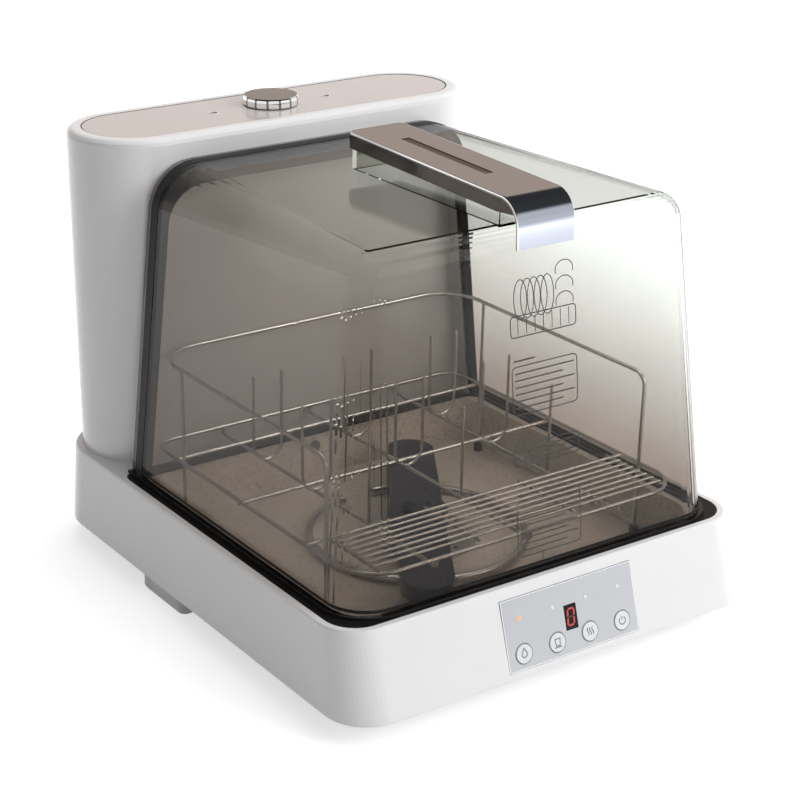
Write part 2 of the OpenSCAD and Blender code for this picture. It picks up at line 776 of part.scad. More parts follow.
module arch_band(y, depth, outer, inner, outer_drop, inner_drop, z0) {
    translate([0, y + depth, 0]) rotate([90, 0, 0]) linear_extrude(depth) difference() {
        rear_arch(outer, outer_drop, z0);
        rear_arch(inner, inner_drop, z0 - 2);
    }
}

// Fixed rear wall of the wash room, with the arch that the hood's gasket closes against
module back_frame() {
    outer = hood_wall + frame_gap;
    color("lightgray") {
        arch_band(frame_y0, tower_y0 - frame_y0, outer, outer + frame_t, frame_drop, frame_drop, rim_z);
        translate([0, tower_y0, 0]) rotate([90, 0, 0]) linear_extrude(frame_t) rear_arch(outer, frame_drop, rim_z);
    }
}

module hood_gasket() {
    foot = hood_z + foot_flange_h + gasket_fit;
    outer = hood_wall + gasket_fit;
    color("black") difference() {
        arch_band(gasket_y0, gasket_w, outer, hood_wall + gasket_t, gasket_fit, frame_drop, hood_z);
        translate([-hood_hw, gasket_y0 - 1, foot - rim_z]) cube([2 * hood_hw, gasket_w + 2, rim_z]);
    }
}

module hinge_bracket() {
    base_top = rear_cz - frame_drop + hood_rear_r - hood_wall - frame_gap;
    color("silver") difference() {
        for (x = fixed_knuckles) {
            translate([x - knuckle_len / 2, rod_y, rod_z]) rotate([0, 90, 0])
                cylinder(r = fixed_knuckle_r, h = knuckle_len, $fn = 48);
            translate([x - knuckle_len / 2, rod_y - 2.2, base_top]) cube([knuckle_len, 4.4, rod_z - base_top]);
        }
        translate([-rod_len, rod_y, rod_z]) rotate([0, 90, 0]) cylinder(d = rod_d, h = 2 * rod_len, $fn = 48);
    }
}

module hinge_rod() {
    color("silver") translate([-rod_len / 2, rod_y, rod_z]) rotate([0, 90, 0]) cylinder(d = rod_d, h = rod_len, $fn = 48);
}

// Closed form of the hood, shrunk evenly by the wall for the inside
module hood_form(shrink, y1, z0) {
    hull() {
        translate([0, 0, z0]) linear_extrude(1)
            open_plan(hood_hw - shrink, hood_y0 + shrink, y1, hood_foot_r - shrink);
        for (s = [-1, 1]) {
            translate([s * (hood_top_hw - hood_front_r), hood_top_y0 + hood_front_r, hood_top - hood_front_r])
                sphere(r = hood_front_r - shrink, $fn = edge_fn);
            translate([s * rear_cx, y1, rear_cz]) rotate([90, 0, 0]) cylinder(r = hood_rear_r - shrink, h = 1, $fn = edge_fn);
        }
    }
}

// Underside of the strap at a given depth
function strap_under(y) = strap_z1 - strap_t - (strap_y1 - y) * strap_fall / (strap_len - 2);

// Raised clear frame under the handle strap
module riser() {
    w = strap_w - 2 * riser_inset;
    front = strap_y0 + 6;
    back = strap_y1 - riser_inset;
    bottom = hood_top - hood_wall - 2;
    difference() {
        along_x(w) polygon([
            [front, bottom], [back, bottom], [back, strap_under(back)], [front, strap_under(front)]
        ]);
        along_x(w - 2 * riser_wall) polygon([
            [front + riser_wall, hood_top], [back - riser_wall, hood_top],
            [back - riser_wall, strap_z1 + 5], [front + riser_wall, strap_z1 + 5]
        ]);
    }
}

module hood() {
    color([0.42, 0.38, 0.34, 0.45]) {
        difference() {
            union() {
                hood_form(0, hood_y1, hood_z);
                riser();
                translate([0, 0, hood_z]) linear_extrude(foot_flange_h)
                    open_plan(hood_hw + foot_flange, hood_y0 - foot_flange, hood_y1, hood_foot_r + foot_flange);
            }
            hood_form(hood_wall, hood_y1 + 2, hood_z - 1.5);
        }
    }
}

module hood_knuckles() {
    color("silver") difference() {
        for (x = hood_knuckle_places) {
            translate([x - knuckle_len / 2, rod_y, rod_z]) rotate([0, 90, 0]) cylinder(r = knuckle_r, h = knuckle_len, $fn = 48);
            translate([x - knuckle_len / 2, rod_y - 4, rod_z]) cube([knuckle_len, 8, knuckle_r]);
        }
        translate([-rod_len, rod_y, rod_z]) rotate([0, 90, 0]) cylinder(d = rod_d + 2 * rod_play, h = 2 * rod_len, $fn = 48);
    }
}

// Mirror strap along the hood's top, folded down in front as the grip
module handle() {
    c = [strap_y0 + 2, strap_z0 - fold_r];
    fold_end = strap_z0 - fold_drop;
    outer = arc(c, fold_r, 90, 176, 12);
    inner = arc(c, fold_r - strap_t, 176, 90, 12);
    lip_y = strap_y0 + 2 - fold_r;
    skirt_hw = strap_w / 2 - skirt_in;
    color("silver") difference() {
        union() {
            intersection() {
                along_x(strap_w) polygon(concat(
                    [[strap_y1, strap_z1]], outer, [[lip_y - 1, fold_end], [lip_y - 1 + strap_t, fold_end]],
                    inner, [[strap_y1, strap_z1 - strap_t]]
                ));
                translate([0, 0, fold_end - 1]) linear_extrude(strap_z1 - fold_end + 2) strap_plan(lip_y - 2);
            }
            for (s = [-1, 1]) along_x(skirt_t, s * (skirt_hw - skirt_t / 2)) polygon(concat(
                [[strap_y1 - skirt_in, strap_z1 - 0.8], [strap_y1 - skirt_in, strap_z1 - skirt_h]],
                [[strap_y0 + 8, strap_z0 - skirt_h]], arc(c, fold_r - strap_t / 2, 150, 90, 6)
            ));
            translate([-skirt_hw, strap_y1 - skirt_in - skirt_t, strap_z1 - skirt_h])
                cube([2 * skirt_hw, skirt_t, skirt_h - 0.8]);
        }
        slot_space(slot_w, slot_len, 3 * slot_depth);
    }
}

// Plan of the strap, with rounded corners at its rear end
module strap_plan(front) {
    r = strap_rear_r;
    translate([-strap_w / 2, front]) square([strap_w, strap_y1 - r - front]);
    translate([-strap_w / 2 + r, strap_y1 - r - 1]) square([strap_w - 2 * r, r + 1]);
    for (s = [-1, 1]) translate([s * (strap_w / 2 - r), strap_y1 - r]) circle(r = r, $fn = 48);
}

// Space of the slot in the strap's top
module slot_space(w, len, h) {
    translate([0, strap_y1, strap_z1]) rotate([strap_slope, 0, 0])
        translate([-w / 2, slot_back - len / 2, -slot_depth]) cube([w, len, h]);
}

module handle_inlay() {
    color("dimgray") slot_space(slot_w - 0.4, slot_len - 0.4, slot_depth / 2);
}

// Tray loop, and the frame of legs and upper rail that stands on the tub floor
module rack_frame() {
    r = tray_r;
    rr = tray_rear_r;
    hw = tray_hw;
    color("silver") {
        bar([-hw + r, tray_y0, tray_z], [hw - r, tray_y0, tray_z], wire_d);
        bar([-hw + rr, tray_y1, tray_z], [hw - rr, tray_y1, tray_z], wire_d);
        for (s = [-1, 1]) bar([s * hw, tray_y0 + r, tray_z], [s * hw, tray_y1 - rr, tray_z], wire_d);
        bend([-hw + r, tray_y0 + r, tray_z], r, 180, wire_d);
        bend([hw - r, tray_y0 + r, tray_z], r, 270, wire_d);
        bend([hw - rr, tray_y1 - rr, tray_z], rr, 0, wire_d);
        bend([-hw + rr, tray_y1 - rr, tray_z], rr, 90, wire_d);
        bar([-hw, shelf_y1, tray_z], [hw, shelf_y1, tray_z], wire_d - 0.4);
        upper_rail();
        for (s = [-1, 1]) side_frame(s * leg_x);
    }
}

// Rail round both sides and the rear of the rack, turning down into the front legs
module upper_rail() {
    r = rail_rear_r;
    bar([-leg_x + r, rail_y1, rail_z], [leg_x - r, rail_y1, rail_z], wire_d);
    bend([leg_x - r, rail_y1 - r, rail_z], r, 0, wire_d);
    bend([-leg_x + r, rail_y1 - r, rail_z], r, 90, wire_d);
    for (s = [-1, 1]) bar([s * leg_x, leg_y0 + rail_r, rail_z], [s * leg_x, rail_y1 - r, rail_z], wire_d);
    for (s = [-1, 1]) translate([s * leg_x, leg_y0 + rail_r, rail_z - rail_r]) rotate([90, 0, 90])
        bend([0, 0, 0], rail_r, 90, wire_d);
}

// Front leg, rear leg and the sill between them at one side
module side_frame(x) {
    foot = rack_z0 + 2;
    bar([x, leg_y0, foot], [x, leg_y0, rail_z - rail_r], wire_d);
    bar([x, leg_y1, foot], [x, leg_y1, rail_z], wire_d - 0.4);
    bar([x, leg_y0, sill_z], [x, leg_y1, sill_z], wire_d - 0.8);
}

// Two cross wires under the tray loop, and the runners under them
module rack_grid() {
    color("silver") {
        for (y = grid_y) bar([-tray_hw + 0.5, y, grid_z], [tray_hw - 0.5, y, grid_z], wire_d);
        for (x = runner_x) bar([x, tray_y0 + 0.5, runner_z], [x, tray_y1 - 0.5, runner_z], wire_d);
        for (x = runner_x, y = [tray_y0, tray_y1]) bar([x, y, runner_z], [x, y, tray_z - 1], wire_d);
    }
}

// Fork of bent wire across a runner
module fork(x, y) {
    half = prong_w / 2;
    base = runner_z + wire_d / 2 + prong_d / 2 - 0.3 + half;
    for (s = [-1, 1]) bar([x + s * half, y, base], [x + s * half, y, tray_z + prong_h], prong_d);
    translate([x, y, base]) rotate([-90, 0, 0]) rotate_extrude(angle = 180, $fn = 48)
        translate([half, 0]) circle(d = prong_d, $fn = 16);
}

module rack_prongs() {
    color("silver") for (x = runner_x) {
        for (y = prong_y) fork(x, y);
        bar([x, post_y, runner_z], [x, post_y, tray_z + prong_h], prong_d);
    }
}

module cutlery_shelf() {
    color("silver") {
        for (i = [1:shelf_wires]) translate([0, tray_y0 + i * shelf_pitch, shelf_z + 2])
            bar([-shelf_hw, 0, 0], [shelf_hw, 0, 0], wire_d - 1);
        for (x = [-1, -1 / 3, 1 / 3, 1] * shelf_hw) bar([x, tray_y0 + 3, shelf_z], [x, shelf_y1, shelf_z], wire_d - 0.6);
    }
}

module rack_feet() {
    color("dimgray") for (s = [-1, 1], y = [leg_y0, leg_y1]) translate([s * leg_x, y, rack_z0]) foot_cap();
}

module foot_cap() {
    difference() {
        cylinder(d = foot_cap_d, h = foot_cap_h, $fn = 32);
        translate([0, 0, 2]) cylinder(d = wire_d + 0.1, h = foot_cap_h, $fn = 24);
    }
}

module control_panel() {
    color([0.78, 0.81, 0.85]) on_face(panel_x, panel_drop + panel_h / 2) translate([0, 0, panel_proud - panel_t]) difference() {
        translate([-panel_w / 2, -panel_h / 2, 0]) cube([panel_w, panel_h, panel_t]);
        translate([0, panel_h / 2, 0]) for (i = [1:4]) translate([(i - 2.5) * button_pitch, 0, -1]) {
            translate([0, -button_drop, 0]) cylinder(d = button_d + 2 * button_gap, h = 5, $fn = 48);
            translate([0, -light_drop, 0]) cylinder(d = light_d + 0.2, h = 5, $fn = 24);
        }
        translate([0, 0, panel_t / 2]) cube([window_w + 0.2, window_h + 0.2, 5], center = true);
    }
}

module display_window() {
    color("black") window_place() translate([0, 0, -0.4]) cube([window_w, window_h, 1.2], center = true);
}

module display_module() {
    color([0.2, 0.05, 0.05]) window_place() translate([0, 0, -board_gap / 2 - 0.5])
        cube([window_w - 1, window_h - 1, board_gap - 1], center = true);
}

module control_board() {
    color("green") on_face(panel_x, panel_drop + panel_h / 2) translate([0, 0, -board_gap - board_t]) difference() {
        translate([-panel_w / 2 + 3, -panel_h / 2 + 6, 0]) cube([panel_w - 6, panel_h - 12, board_t]);
        for (s = [-1, 1]) translate([s * board_hole_x, 0, -1]) cylinder(d = 3.2, h = 5, $fn = 24);
    }
    color("green") for (i = [1:4]) button_place(i) translate([0, 0, -board_gap]) cylinder(d = 8, h = switch_h, $fn = 32);
}

module button(i) {
    deep = board_gap - 1.2 - button_travel;
    color([0.86, 0.88, 0.92]) button_place(i) {
        translate([0, 0, panel_proud + button_proud - 3]) cylinder(d = button_d, h = 3, $fn = 64);
        translate([0, 0, -deep]) cylinder(d = button_stem_d, h = deep, $fn = 32);
    }
}

module indicator(i) {
    color(i == 1 ? "orangered" : "white") light_place(i) translate([0, 0, -board_gap])
        cylinder(d = light_d, h = board_gap + 0.4, $fn = 24);
}

module wash_pump() {
    color("dimgray") translate([wash_x, pump_y, wash_z]) rotate([0, 90, 0]) difference() {
        union() {
            cylinder(d = 58, h = 26, $fn = 64);
            translate([0, 0, 26]) cylinder(d = 50, h = 62, $fn = 64);
        }
        translate([0, 0, 3]) cylinder(d = 52, h = 18, $fn = 64);
        translate([0, 0, 12]) cylinder(d = shaft_d + 2 * pivot_play, h = 50, $fn = 32);
        translate([0, 0, -1]) cylinder(d = hose_d + 2 * hose_gap, h = 10, $fn = 32);
        translate([0, 0, wash_port]) rotate([90, 0, 0]) cylinder(d = hose_d + 2 * hose_gap, h = 40, $fn = 32);
    }
    color("dimgray") translate([wash_x + 34, pump_y - 16, plate_top]) cube([44, 32, wash_z - plate_top - 18]);
}

// Shaft with a disc and vanes, along X
module impeller(d, h, vanes, shaft) {
    rotate([0, 90, 0]) {
        cylinder(d = d, h = 2, $fn = 48);
        for (a = [0:360 / vanes:359]) rotate([0, 0, a]) translate([3, -1, -h]) cube([d / 2 - 4, 2, h + 1]);
        translate([0, 0, -h + 1]) cylinder(d = 10, h = h, $fn = 32);
        cylinder(d = shaft_d, h = shaft, $fn = 32);
    }
}

module wash_impeller() {
    color("white") translate([wash_x + 15, pump_y, wash_z]) impeller(48, 8, 6, 34);
}

module drain_pump() {
    color("dimgray") translate([drain_x, pump_y, drain_z]) rotate([0, 90, 0]) difference() {
        union() {
            cylinder(d = 44, h = 20, $fn = 64);
            translate([0, 0, 20]) cylinder(d = 38, h = 40, $fn = 64);
        }
        translate([0, 0, 3]) cylinder(d = 36, h = 13, $fn = 64);
        translate([0, 0, 12]) cylinder(d = shaft_d + 2 * pivot_play, h = 36, $fn = 32);
        translate([0, 0, -1]) cylinder(d = hose_d + 2 * hose_gap, h = 10, $fn = 32);
        translate([0, 0, drain_port]) rotate([-90, 0, 0]) cylinder(d = hose_d + 2 * hose_gap, h = 40, $fn = 32);
    }
    color("dimgray") translate([drain_x + 24, pump_y - 12, plate_top]) cube([32, 24, drain_z - plate_top - 15]);
}

module drain_impeller() {
    color("white") translate([drain_x + 12, pump_y, drain_z]) impeller(30, 5, 5, 26);
}

module pipe(points, d) {
    for (i = [0:len(points) - 2]) bar(points[i], points[i + 1], d);
    for (i = [1:len(points) - 2]) translate(points[i]) sphere(d = d, $fn = 24);
}

module wash_hose() {
    color("gray") pipe([
        [hose_x, stub_y, hose_z], [hose_x, pump_y, hose_z], [hose_x, pump_y, wash_z], [wash_x + 2, pump_y, wash_z]
    ], hose_d);
}

module drain_hose() {
    x = drain_x - 24;
    y = pump_y - 42;
    color("gray") {
        pipe([
            [-hose_x, stub_y, hose_z], [-hose_x, y, hose_z], [x, y, hose_z], [x, pump_y, hose_z],
            [x, pump_y, drain_z], [drain_x + 2, pump_y, drain_z]
        ], hose_d);
        bar([pocket_x, pump_y + 19, pocket_z], [pocket_x, spigot_y, pocket_z], hose_d);
    }
}

module drain_spigot() {
    color("lightgray") translate([pocket_x, spigot_y, pocket_z]) rotate([-90, 0, 0]) difference() {
        union() {
            cylinder(d = spigot_d, h = spigot_len, $fn = 48);
            translate([0, 0, base_wall + 2]) cylinder(d = spigot_d + 6, h = 2, $fn = 48);
        }
        translate([0, 0, -1]) cylinder(d = spigot_bore, h = spigot_len + 2, $fn = 48);
    }
}

// Three-pin socket set in the rear wall
module power_inlet() {
    color("black") translate([inlet_x, y_rear, pocket_z]) {
        difference() {
            union() {
                translate([0, -8, 0]) cube([inlet_w - 0.4, 16, inlet_h - 0.4], center = true);
                translate([0, -base_wall - 1, 0]) cube([inlet_w + 8, 2, inlet_h + 8], center = true);
            }
            cube([24, 26, 16.5], center = true);
        }
        for (p = [[-7, -2], [0, 3], [7, -2]]) translate([p[0], -10, p[1]]) cube([2, 12, 4.5], center = true);
    }
}

module tank_hose() {
    color("gray") pipe([
        [0, tower_y, tank_z0 + tank_wall], [0, tower_y, tank_hose_z], [0, tub_y1 - 1.5, tank_hose_z]
    ], hose_d);
}

// Feed from the wash pump to the spray arm's pivot
module spray_hose() {
    x = wash_x + wash_port;
    y = pump_y - 42;
    color("gray") pipe([
        [0, stub_y, hose_z], [0, y, hose_z], [0, y, wash_z], [x, y, wash_z], [x, pump_y - 27.5, wash_z]
    ], hose_d);
}

base_shell();
base_plate();
base_screws();
side_feet();
front_feet();
rear_feet();
wash_tub();
tub_seal();
sump();
filter_plate();
filter_cup();
heater();
spray_pivot();
spray_arm();
arm_cap();
tower_shell();
tower_cap();
top_panel();
water_tank();
fill_neck();
cap_plug();
fill_knob();
float_stem();
tank_float();
back_frame();
hinge_bracket();
hinge_rod();
hood();
hood_gasket();
hood_knuckles();
handle();
handle_inlay();
rack_frame();
rack_grid();
rack_prongs();
cutlery_shelf();
rack_feet();
control_panel();
display_window();
display_module();
control_board();
button(1);  // button_1
button(2);  // button_2
button(3);  // button_3
button(4);  // button_4
indicator(1);  // indicator_1
indicator(2);  // indicator_2
indicator(3);  // indicator_3
indicator(4);  // indicator_4
wash_pump();
wash_impeller();
wash_hose();
drain_pump();
drain_impeller();
drain_hose();
drain_spigot();
power_inlet();
tank_hose();
spray_hose();
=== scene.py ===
"""Countertop dishwasher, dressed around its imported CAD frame: materials, print, symbols, light and camera."""
import math

import bmesh
import bpy
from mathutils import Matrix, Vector


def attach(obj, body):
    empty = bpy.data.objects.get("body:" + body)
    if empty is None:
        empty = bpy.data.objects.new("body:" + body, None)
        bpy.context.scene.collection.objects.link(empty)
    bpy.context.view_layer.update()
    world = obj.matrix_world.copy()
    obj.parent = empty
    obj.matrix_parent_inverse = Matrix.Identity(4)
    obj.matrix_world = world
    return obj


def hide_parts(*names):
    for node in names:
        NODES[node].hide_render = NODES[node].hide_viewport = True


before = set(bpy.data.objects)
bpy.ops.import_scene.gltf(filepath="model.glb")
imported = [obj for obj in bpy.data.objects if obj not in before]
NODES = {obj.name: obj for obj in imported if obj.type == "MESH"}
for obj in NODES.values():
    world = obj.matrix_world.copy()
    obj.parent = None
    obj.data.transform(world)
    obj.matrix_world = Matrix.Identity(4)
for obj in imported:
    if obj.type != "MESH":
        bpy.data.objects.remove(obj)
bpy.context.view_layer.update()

# Camera at the photograph's viewing angle, with its lens in pixels of an 800 x 800 picture
PICTURE = 800
LENS_PIXELS = 1930.2
SENSOR = 36.0
CAMERA_PLACE = (-0.8936, -1.2421, 0.7721)
CAMERA_TILT = 64.5
CAMERA_TURN = -33.3
CAMERA_SHIFT = (0.1066, 0.1548)

# Sloping front face of the base, as in the CAD: its upper edge and its slope
FACE_Y = -0.223
RIM_Z = 0.090
FACE_SLOPE = math.atan(22 / 70)

# Control panel on that face: its middle, its size and how far it stands below the rim
PANEL_X = 0.009
PANEL_DROP = 0.0094
PANEL_W = 0.132
PANEL_H = 0.058
PANEL_PROUD = 0.0002
PANEL_MIDDLE = PANEL_DROP + PANEL_H / 2

# Buttons on the panel
BUTTON_COUNT = 4
BUTTON_PITCH = 0.0333
BUTTON_DROP = PANEL_DROP + 0.0455
BUTTON_PROUD = 0.0007

# Front wall of the hood: its foot and how far it leans back
HOOD_FOOT = Vector((0.0, -0.211, 0.0914))
HOOD_LEAN = math.radians(7.18)
HOOD_UP = Vector((0.0, math.sin(HOOD_LEAN), math.cos(HOOD_LEAN)))
HOOD_OUT = Vector((0.0, -math.cos(HOOD_LEAN), math.sin(HOOD_LEAN)))
HOOD_MIDDLE_Y = -0.04

# Top of the tower: the height of its panel, the panel's round ends, the knob and the vents
TOP_Z = 0.3756
TOP_MIDDLE_Y = 0.1885
TOP_END_X = 0.1365
TOP_END_R = 0.0438
VENT_X = 0.058
VENT_RIM_R = 0.0039

# Painted shade and light on the smoked plastic: its colour ramp runs from painted shade low on the left to
# painted light high on the right; 0.5 is the middle of the ramp, at SHADE_RAMP_MIDDLE_Z
SHADE_RAMP_ACROSS = 0.45 / 0.36
SHADE_RAMP_UP = 0.55 / 0.27
SHADE_RAMP_MIDDLE_Z = 0.225
SHADE_RAMP_START = 0.5 - SHADE_RAMP_UP * SHADE_RAMP_MIDDLE_Z
SHADE_RAMP_UNEVEN = 0.06
SHADE_RAMP_MIDDLE = 0.52
SHADE_RAMP_LIT = 0.86

# Between these shares of edge-on view the smoked plastic takes its rim's depth
RIM_FROM = 0.59
RIM_TO = 0.86

# The smoothest finish that a surface's uneven gloss may reach
SMOOTHEST = 0.01

# Print: how deep a strip reaches into what it lies on, and the sharpest mitre of its corners
PRINT_SINK = 0.00005
MITRE_LIMIT = 0.4

# How strongly the floor glows near the object where it is seen, and where it reaches full white
FLOOR_GLOW_NEAR = 0.60
FLOOR_NEAR = 0.55
FLOOR_FAR = 1.9
FLOOR_HALF = 6

# How bright the room is on each side, and its plain colour for soft light
ROOM_LEFT = 0.35
ROOM_RIGHT = 0.9
ROOM_SOFT = (0.62, 0.61, 0.61, 1)
WHITE_LIGHT = (1, 1, 1, 1)


# Small helpers
def add_object(name, data):
    ob = bpy.data.objects.new(name, data)
    bpy.context.collection.objects.link(ob)
    return ob


def build_camera():
    data = bpy.data.cameras.new("camera")
    camera = add_object("camera", data)
    camera.location = CAMERA_PLACE
    camera.rotation_euler = (math.radians(CAMERA_TILT), 0.0, math.radians(CAMERA_TURN))
    data.sensor_width = SENSOR
    data.lens = LENS_PIXELS / PICTURE * SENSOR
    data.shift_x, data.shift_y = CAMERA_SHIFT
    bpy.context.scene.camera = camera


build_camera()


def arc(cx, cy, r, start, end, steps, ry=None):
    """Points on an arc between two angles in degrees, both ends included; ry makes it an ellipse."""
    ry = r if ry is None else ry
    angles = [math.radians(start + (end - start) * i / steps) for i in range(steps + 1)]
    return [(cx + r * math.cos(a), cy + ry * math.sin(a)) for a in angles]


def circle(cx, cy, r, steps, ry=None):
    return arc(cx, cy, r, 0.0, 360.0, steps, ry)[:-1]


def rounded(x0, y0, x1, y1, r, steps=6):
    """A rectangle with round corners."""
    left, right, low, high = x0 + r, x1 - r, y0 + r, y1 - r
    points = []
    for cx, cy, start in ((right, low, -90), (right, high, 0), (left, high, 90), (left, low, 180)):
        points += arc(cx, cy, r, start, start + 90, steps)
    return points


def face_point(x, down, out):
    """A point of the base's front face: x from the middle, down from the rim, out along its normal."""
    c, s = math.cos(FACE_SLOPE), math.sin(FACE_SLOPE)
    return Vector((x, FACE_Y - down * s - out * c, RIM_Z - down * c + out * s))


def panel_point(x, y, out):
    """A point on the control panel, from its middle."""
    return face_point(PANEL_X + x, PANEL_MIDDLE - y, PANEL_PROUD + out)


def hood_point(x, z, out):
    """A point on the hood's front wall at a width and a height above the floor."""
    along = (z - HOOD_FOOT.z) / math.cos(HOOD_LEAN)
    return HOOD_FOOT + Vector((x, 0, 0)) + HOOD_UP * along + HOOD_OUT * out


def top_point(x, y, out):
    """A point on the tower's top."""
    return Vector((x, y, TOP_Z + out))


# Shader nodes
def math_node(tree, operation, *values):
    """A Math node whose inputs are sockets or plain numbers."""
    node = tree.nodes.new("ShaderNodeMath")
    node.operation = operation
    for socket, value in zip(node.inputs, values):
        if isinstance(value, bpy.types.NodeSocket):
            tree.links.new(value, socket)
        else:
            socket.default_value = value
    return node.outputs[0]


def map_range(tree, value, to_min, to_max, from_min=0.0, from_max=1.0, smooth=False):
    node = tree.nodes.new("ShaderNodeMapRange")
    if smooth:
        node.interpolation_type = "SMOOTHSTEP"
    limits = {"From Min": from_min, "From Max": from_max, "To Min": to_min, "To Max": to_max}
    for name, number in limits.items():
        node.inputs[name].default_value = number
    tree.links.new(value, node.inputs["Value"])
    return node.outputs[0]


def noise(tree, scale, detail=3.0, stretch=(1, 1, 1)):
    """Noise fixed to the object, from 0 to 1."""
    coord = tree.nodes.new("ShaderNodeTexCoord")
    mapping = tree.nodes.new("ShaderNodeMapping")
    mapping.inputs["Scale"].default_value = stretch
    tex = tree.nodes.new("ShaderNodeTexNoise")
    tex.inputs["Scale"].default_value = scale
    tex.inputs["Detail"].default_value = detail
    tree.links.new(coord.outputs["Object"], mapping.inputs["Vector"])
    tree.links.new(mapping.outputs[0], tex.inputs["Vector"])
    return tex.outputs["Fac"]


def color_ramp(tree, value, stops):
    """Colours at places from 0 to 1. The first two stops take the ramp's own two elements."""
    node = tree.nodes.new("ShaderNodeValToRGB")
    elements = node.color_ramp.elements
    for k, (where, shade) in enumerate(stops):
        element = elements[k] if k < 2 else elements.new(where)
        element.position = where
        element.color = (*shade, 1)
    tree.links.new(value, node.inputs["Fac"])
    return node.outputs["Color"]


def tone(tree, value, low, high):
    return color_ramp(tree, value, ((0.3, low), (0.7, high)))


def mix_color(tree, factor, first, second, blend="MIX"):
    """A mix of two colours. The factor and the second colour are sockets or plain values."""
    node = tree.nodes.new("ShaderNodeMixRGB")
    node.blend_type = blend
    tree.links.new(first, node.inputs["Color1"])
    for socket, value in ((node.inputs["Fac"], factor), (node.inputs["Color2"], second)):
        if isinstance(value, bpy.types.NodeSocket):
            tree.links.new(value, socket)
        else:
            socket.default_value = value
    return node.outputs[0]


def any_of(tree, values):
    """The largest of several 0 or 1 values."""
    last = values[0]
    for value in values[1:]:
        last = math_node(tree, "MAXIMUM", last, value)
    return last


def bump(tree, bsdf, height, strength):
    node = tree.nodes.new("ShaderNodeBump")
    node.inputs["Strength"].default_value = strength
    node.inputs["Distance"].default_value = 0.0002
    tree.links.new(height, node.inputs["Height"])
    tree.links.new(node.outputs[0], bsdf.inputs["Normal"])


# Kinds of material
def new_material(name):
    """A node material whose Principled shader is wired to its output."""
    mat = bpy.data.materials.new(name)
    mat.use_nodes = True
    tree = mat.node_tree
    tree.nodes.clear()
    out = tree.nodes.new("ShaderNodeOutputMaterial")
    bsdf = tree.nodes.new("ShaderNodeBsdfPrincipled")
    tree.links.new(bsdf.outputs[0], out.inputs[0])
    return mat, tree, bsdf, out


def surface(name, base, rough=0.4, metal=0.0, vary=0.03, scale=45, rough_vary=0.05, rough_scale=90,
            grain=0.0, grain_scale=900, stretch=(1, 1, 1), coat=0.0, specular=0.5):
    """A moulded, brushed or plated surface with uneven colour, gloss and grain."""
    mat, tree, bsdf, _ = new_material(name)
    low = [max(0.0, c * (1 - vary)) for c in base]
    high = [min(1.0, c * (1 + vary)) for c in base]
    tree.links.new(tone(tree, noise(tree, scale, 3, stretch), low, high), bsdf.inputs["Base Color"])
    spots = noise(tree, rough_scale, 4, stretch)
    gloss = map_range(tree, spots, max(SMOOTHEST, rough - rough_vary), rough + rough_vary)
    tree.links.new(gloss, bsdf.inputs["Roughness"])
    bsdf.inputs["Metallic"].default_value = metal
    bsdf.inputs["Specular IOR Level"].default_value = specular
    bsdf.inputs["Coat Weight"].default_value = coat
    bsdf.inputs["Coat Roughness"].default_value = 0.05
    if grain:
        bump(tree, bsdf, noise(tree, grain_scale, 2, stretch), grain)
    return mat


def smoked(name, dark, middle, light, rough, lamp_tint, rim=1.0, ior=1.22):
    """Clear smoked plastic with painted shade low on the left and painted light high on the right, and deeper
    in colour where the wall is seen edge on.
    """
    mat, tree, bsdf, out = new_material(name)
    coord = tree.nodes.new("ShaderNodeTexCoord")
    split = tree.nodes.new("ShaderNodeSeparateXYZ")
    tree.links.new(coord.outputs["Object"], split.inputs[0])
    # Painted shade and light: the colour ramp follows the object's x and z, darker low on the left, lighter
    # high on the right
    across = math_node(tree, "MULTIPLY_ADD", split.outputs["X"], SHADE_RAMP_ACROSS, SHADE_RAMP_START)
    up = math_node(tree, "MULTIPLY_ADD", split.outputs["Z"], SHADE_RAMP_UP, across)
    uneven = math_node(tree, "MULTIPLY_ADD", noise(tree, scale=9, detail=2), SHADE_RAMP_UNEVEN, up)
    painted_shade_colour = color_ramp(tree, uneven, ((0.0, dark), (SHADE_RAMP_LIT, light), (SHADE_RAMP_MIDDLE, middle)))
    facing = tree.nodes.new("ShaderNodeLayerWeight")
    facing.inputs["Blend"].default_value = 0.5
    edge_on = map_range(tree, facing.outputs["Facing"], 1.0, rim, from_min=RIM_FROM, from_max=RIM_TO)
    tree.links.new(mix_color(tree, 1.0, painted_shade_colour, edge_on, "MULTIPLY"), bsdf.inputs["Base Color"])
    gloss = map_range(tree, noise(tree, scale=30), rough * 0.5, rough * 1.5)
    tree.links.new(gloss, bsdf.inputs["Roughness"])
    bsdf.inputs["Transmission Weight"].default_value = 1.0
    bsdf.inputs["IOR"].default_value = ior
    let_through = tree.nodes.new("ShaderNodeBsdfTransparent")
    let_through.inputs["Color"].default_value = (*lamp_tint, 1)
    path = tree.nodes.new("ShaderNodeLightPath")
    mix = tree.nodes.new("ShaderNodeMixShader")
    tree.links.new(path.outputs["Is Shadow Ray"], mix.inputs["Fac"])
    tree.links.new(bsdf.outputs[0], mix.inputs[1])
    tree.links.new(let_through.outputs[0], mix.inputs[2])
    tree.links.new(mix.outputs[0], out.inputs[0])
    return mat


def speckled(name, base, spot, rough, scale):
    """Moulded plastic with fine darker specks and a slow change of tone."""
    mat, tree, bsdf, _ = new_material(name)
    slow = tone(tree, noise(tree, scale=22), [c * 0.90 for c in base], [min(1.0, c * 1.06) for c in base])
    specks = map_range(tree, noise(tree, scale, detail=2), 0.0, 1.0, from_min=0.56, from_max=0.64)
    tree.links.new(mix_color(tree, specks, slow, (*spot, 1)), bsdf.inputs["Base Color"])
    bsdf.inputs["Roughness"].default_value = rough
    bump(tree, bsdf, noise(tree, scale, detail=2), 0.2)
    return mat


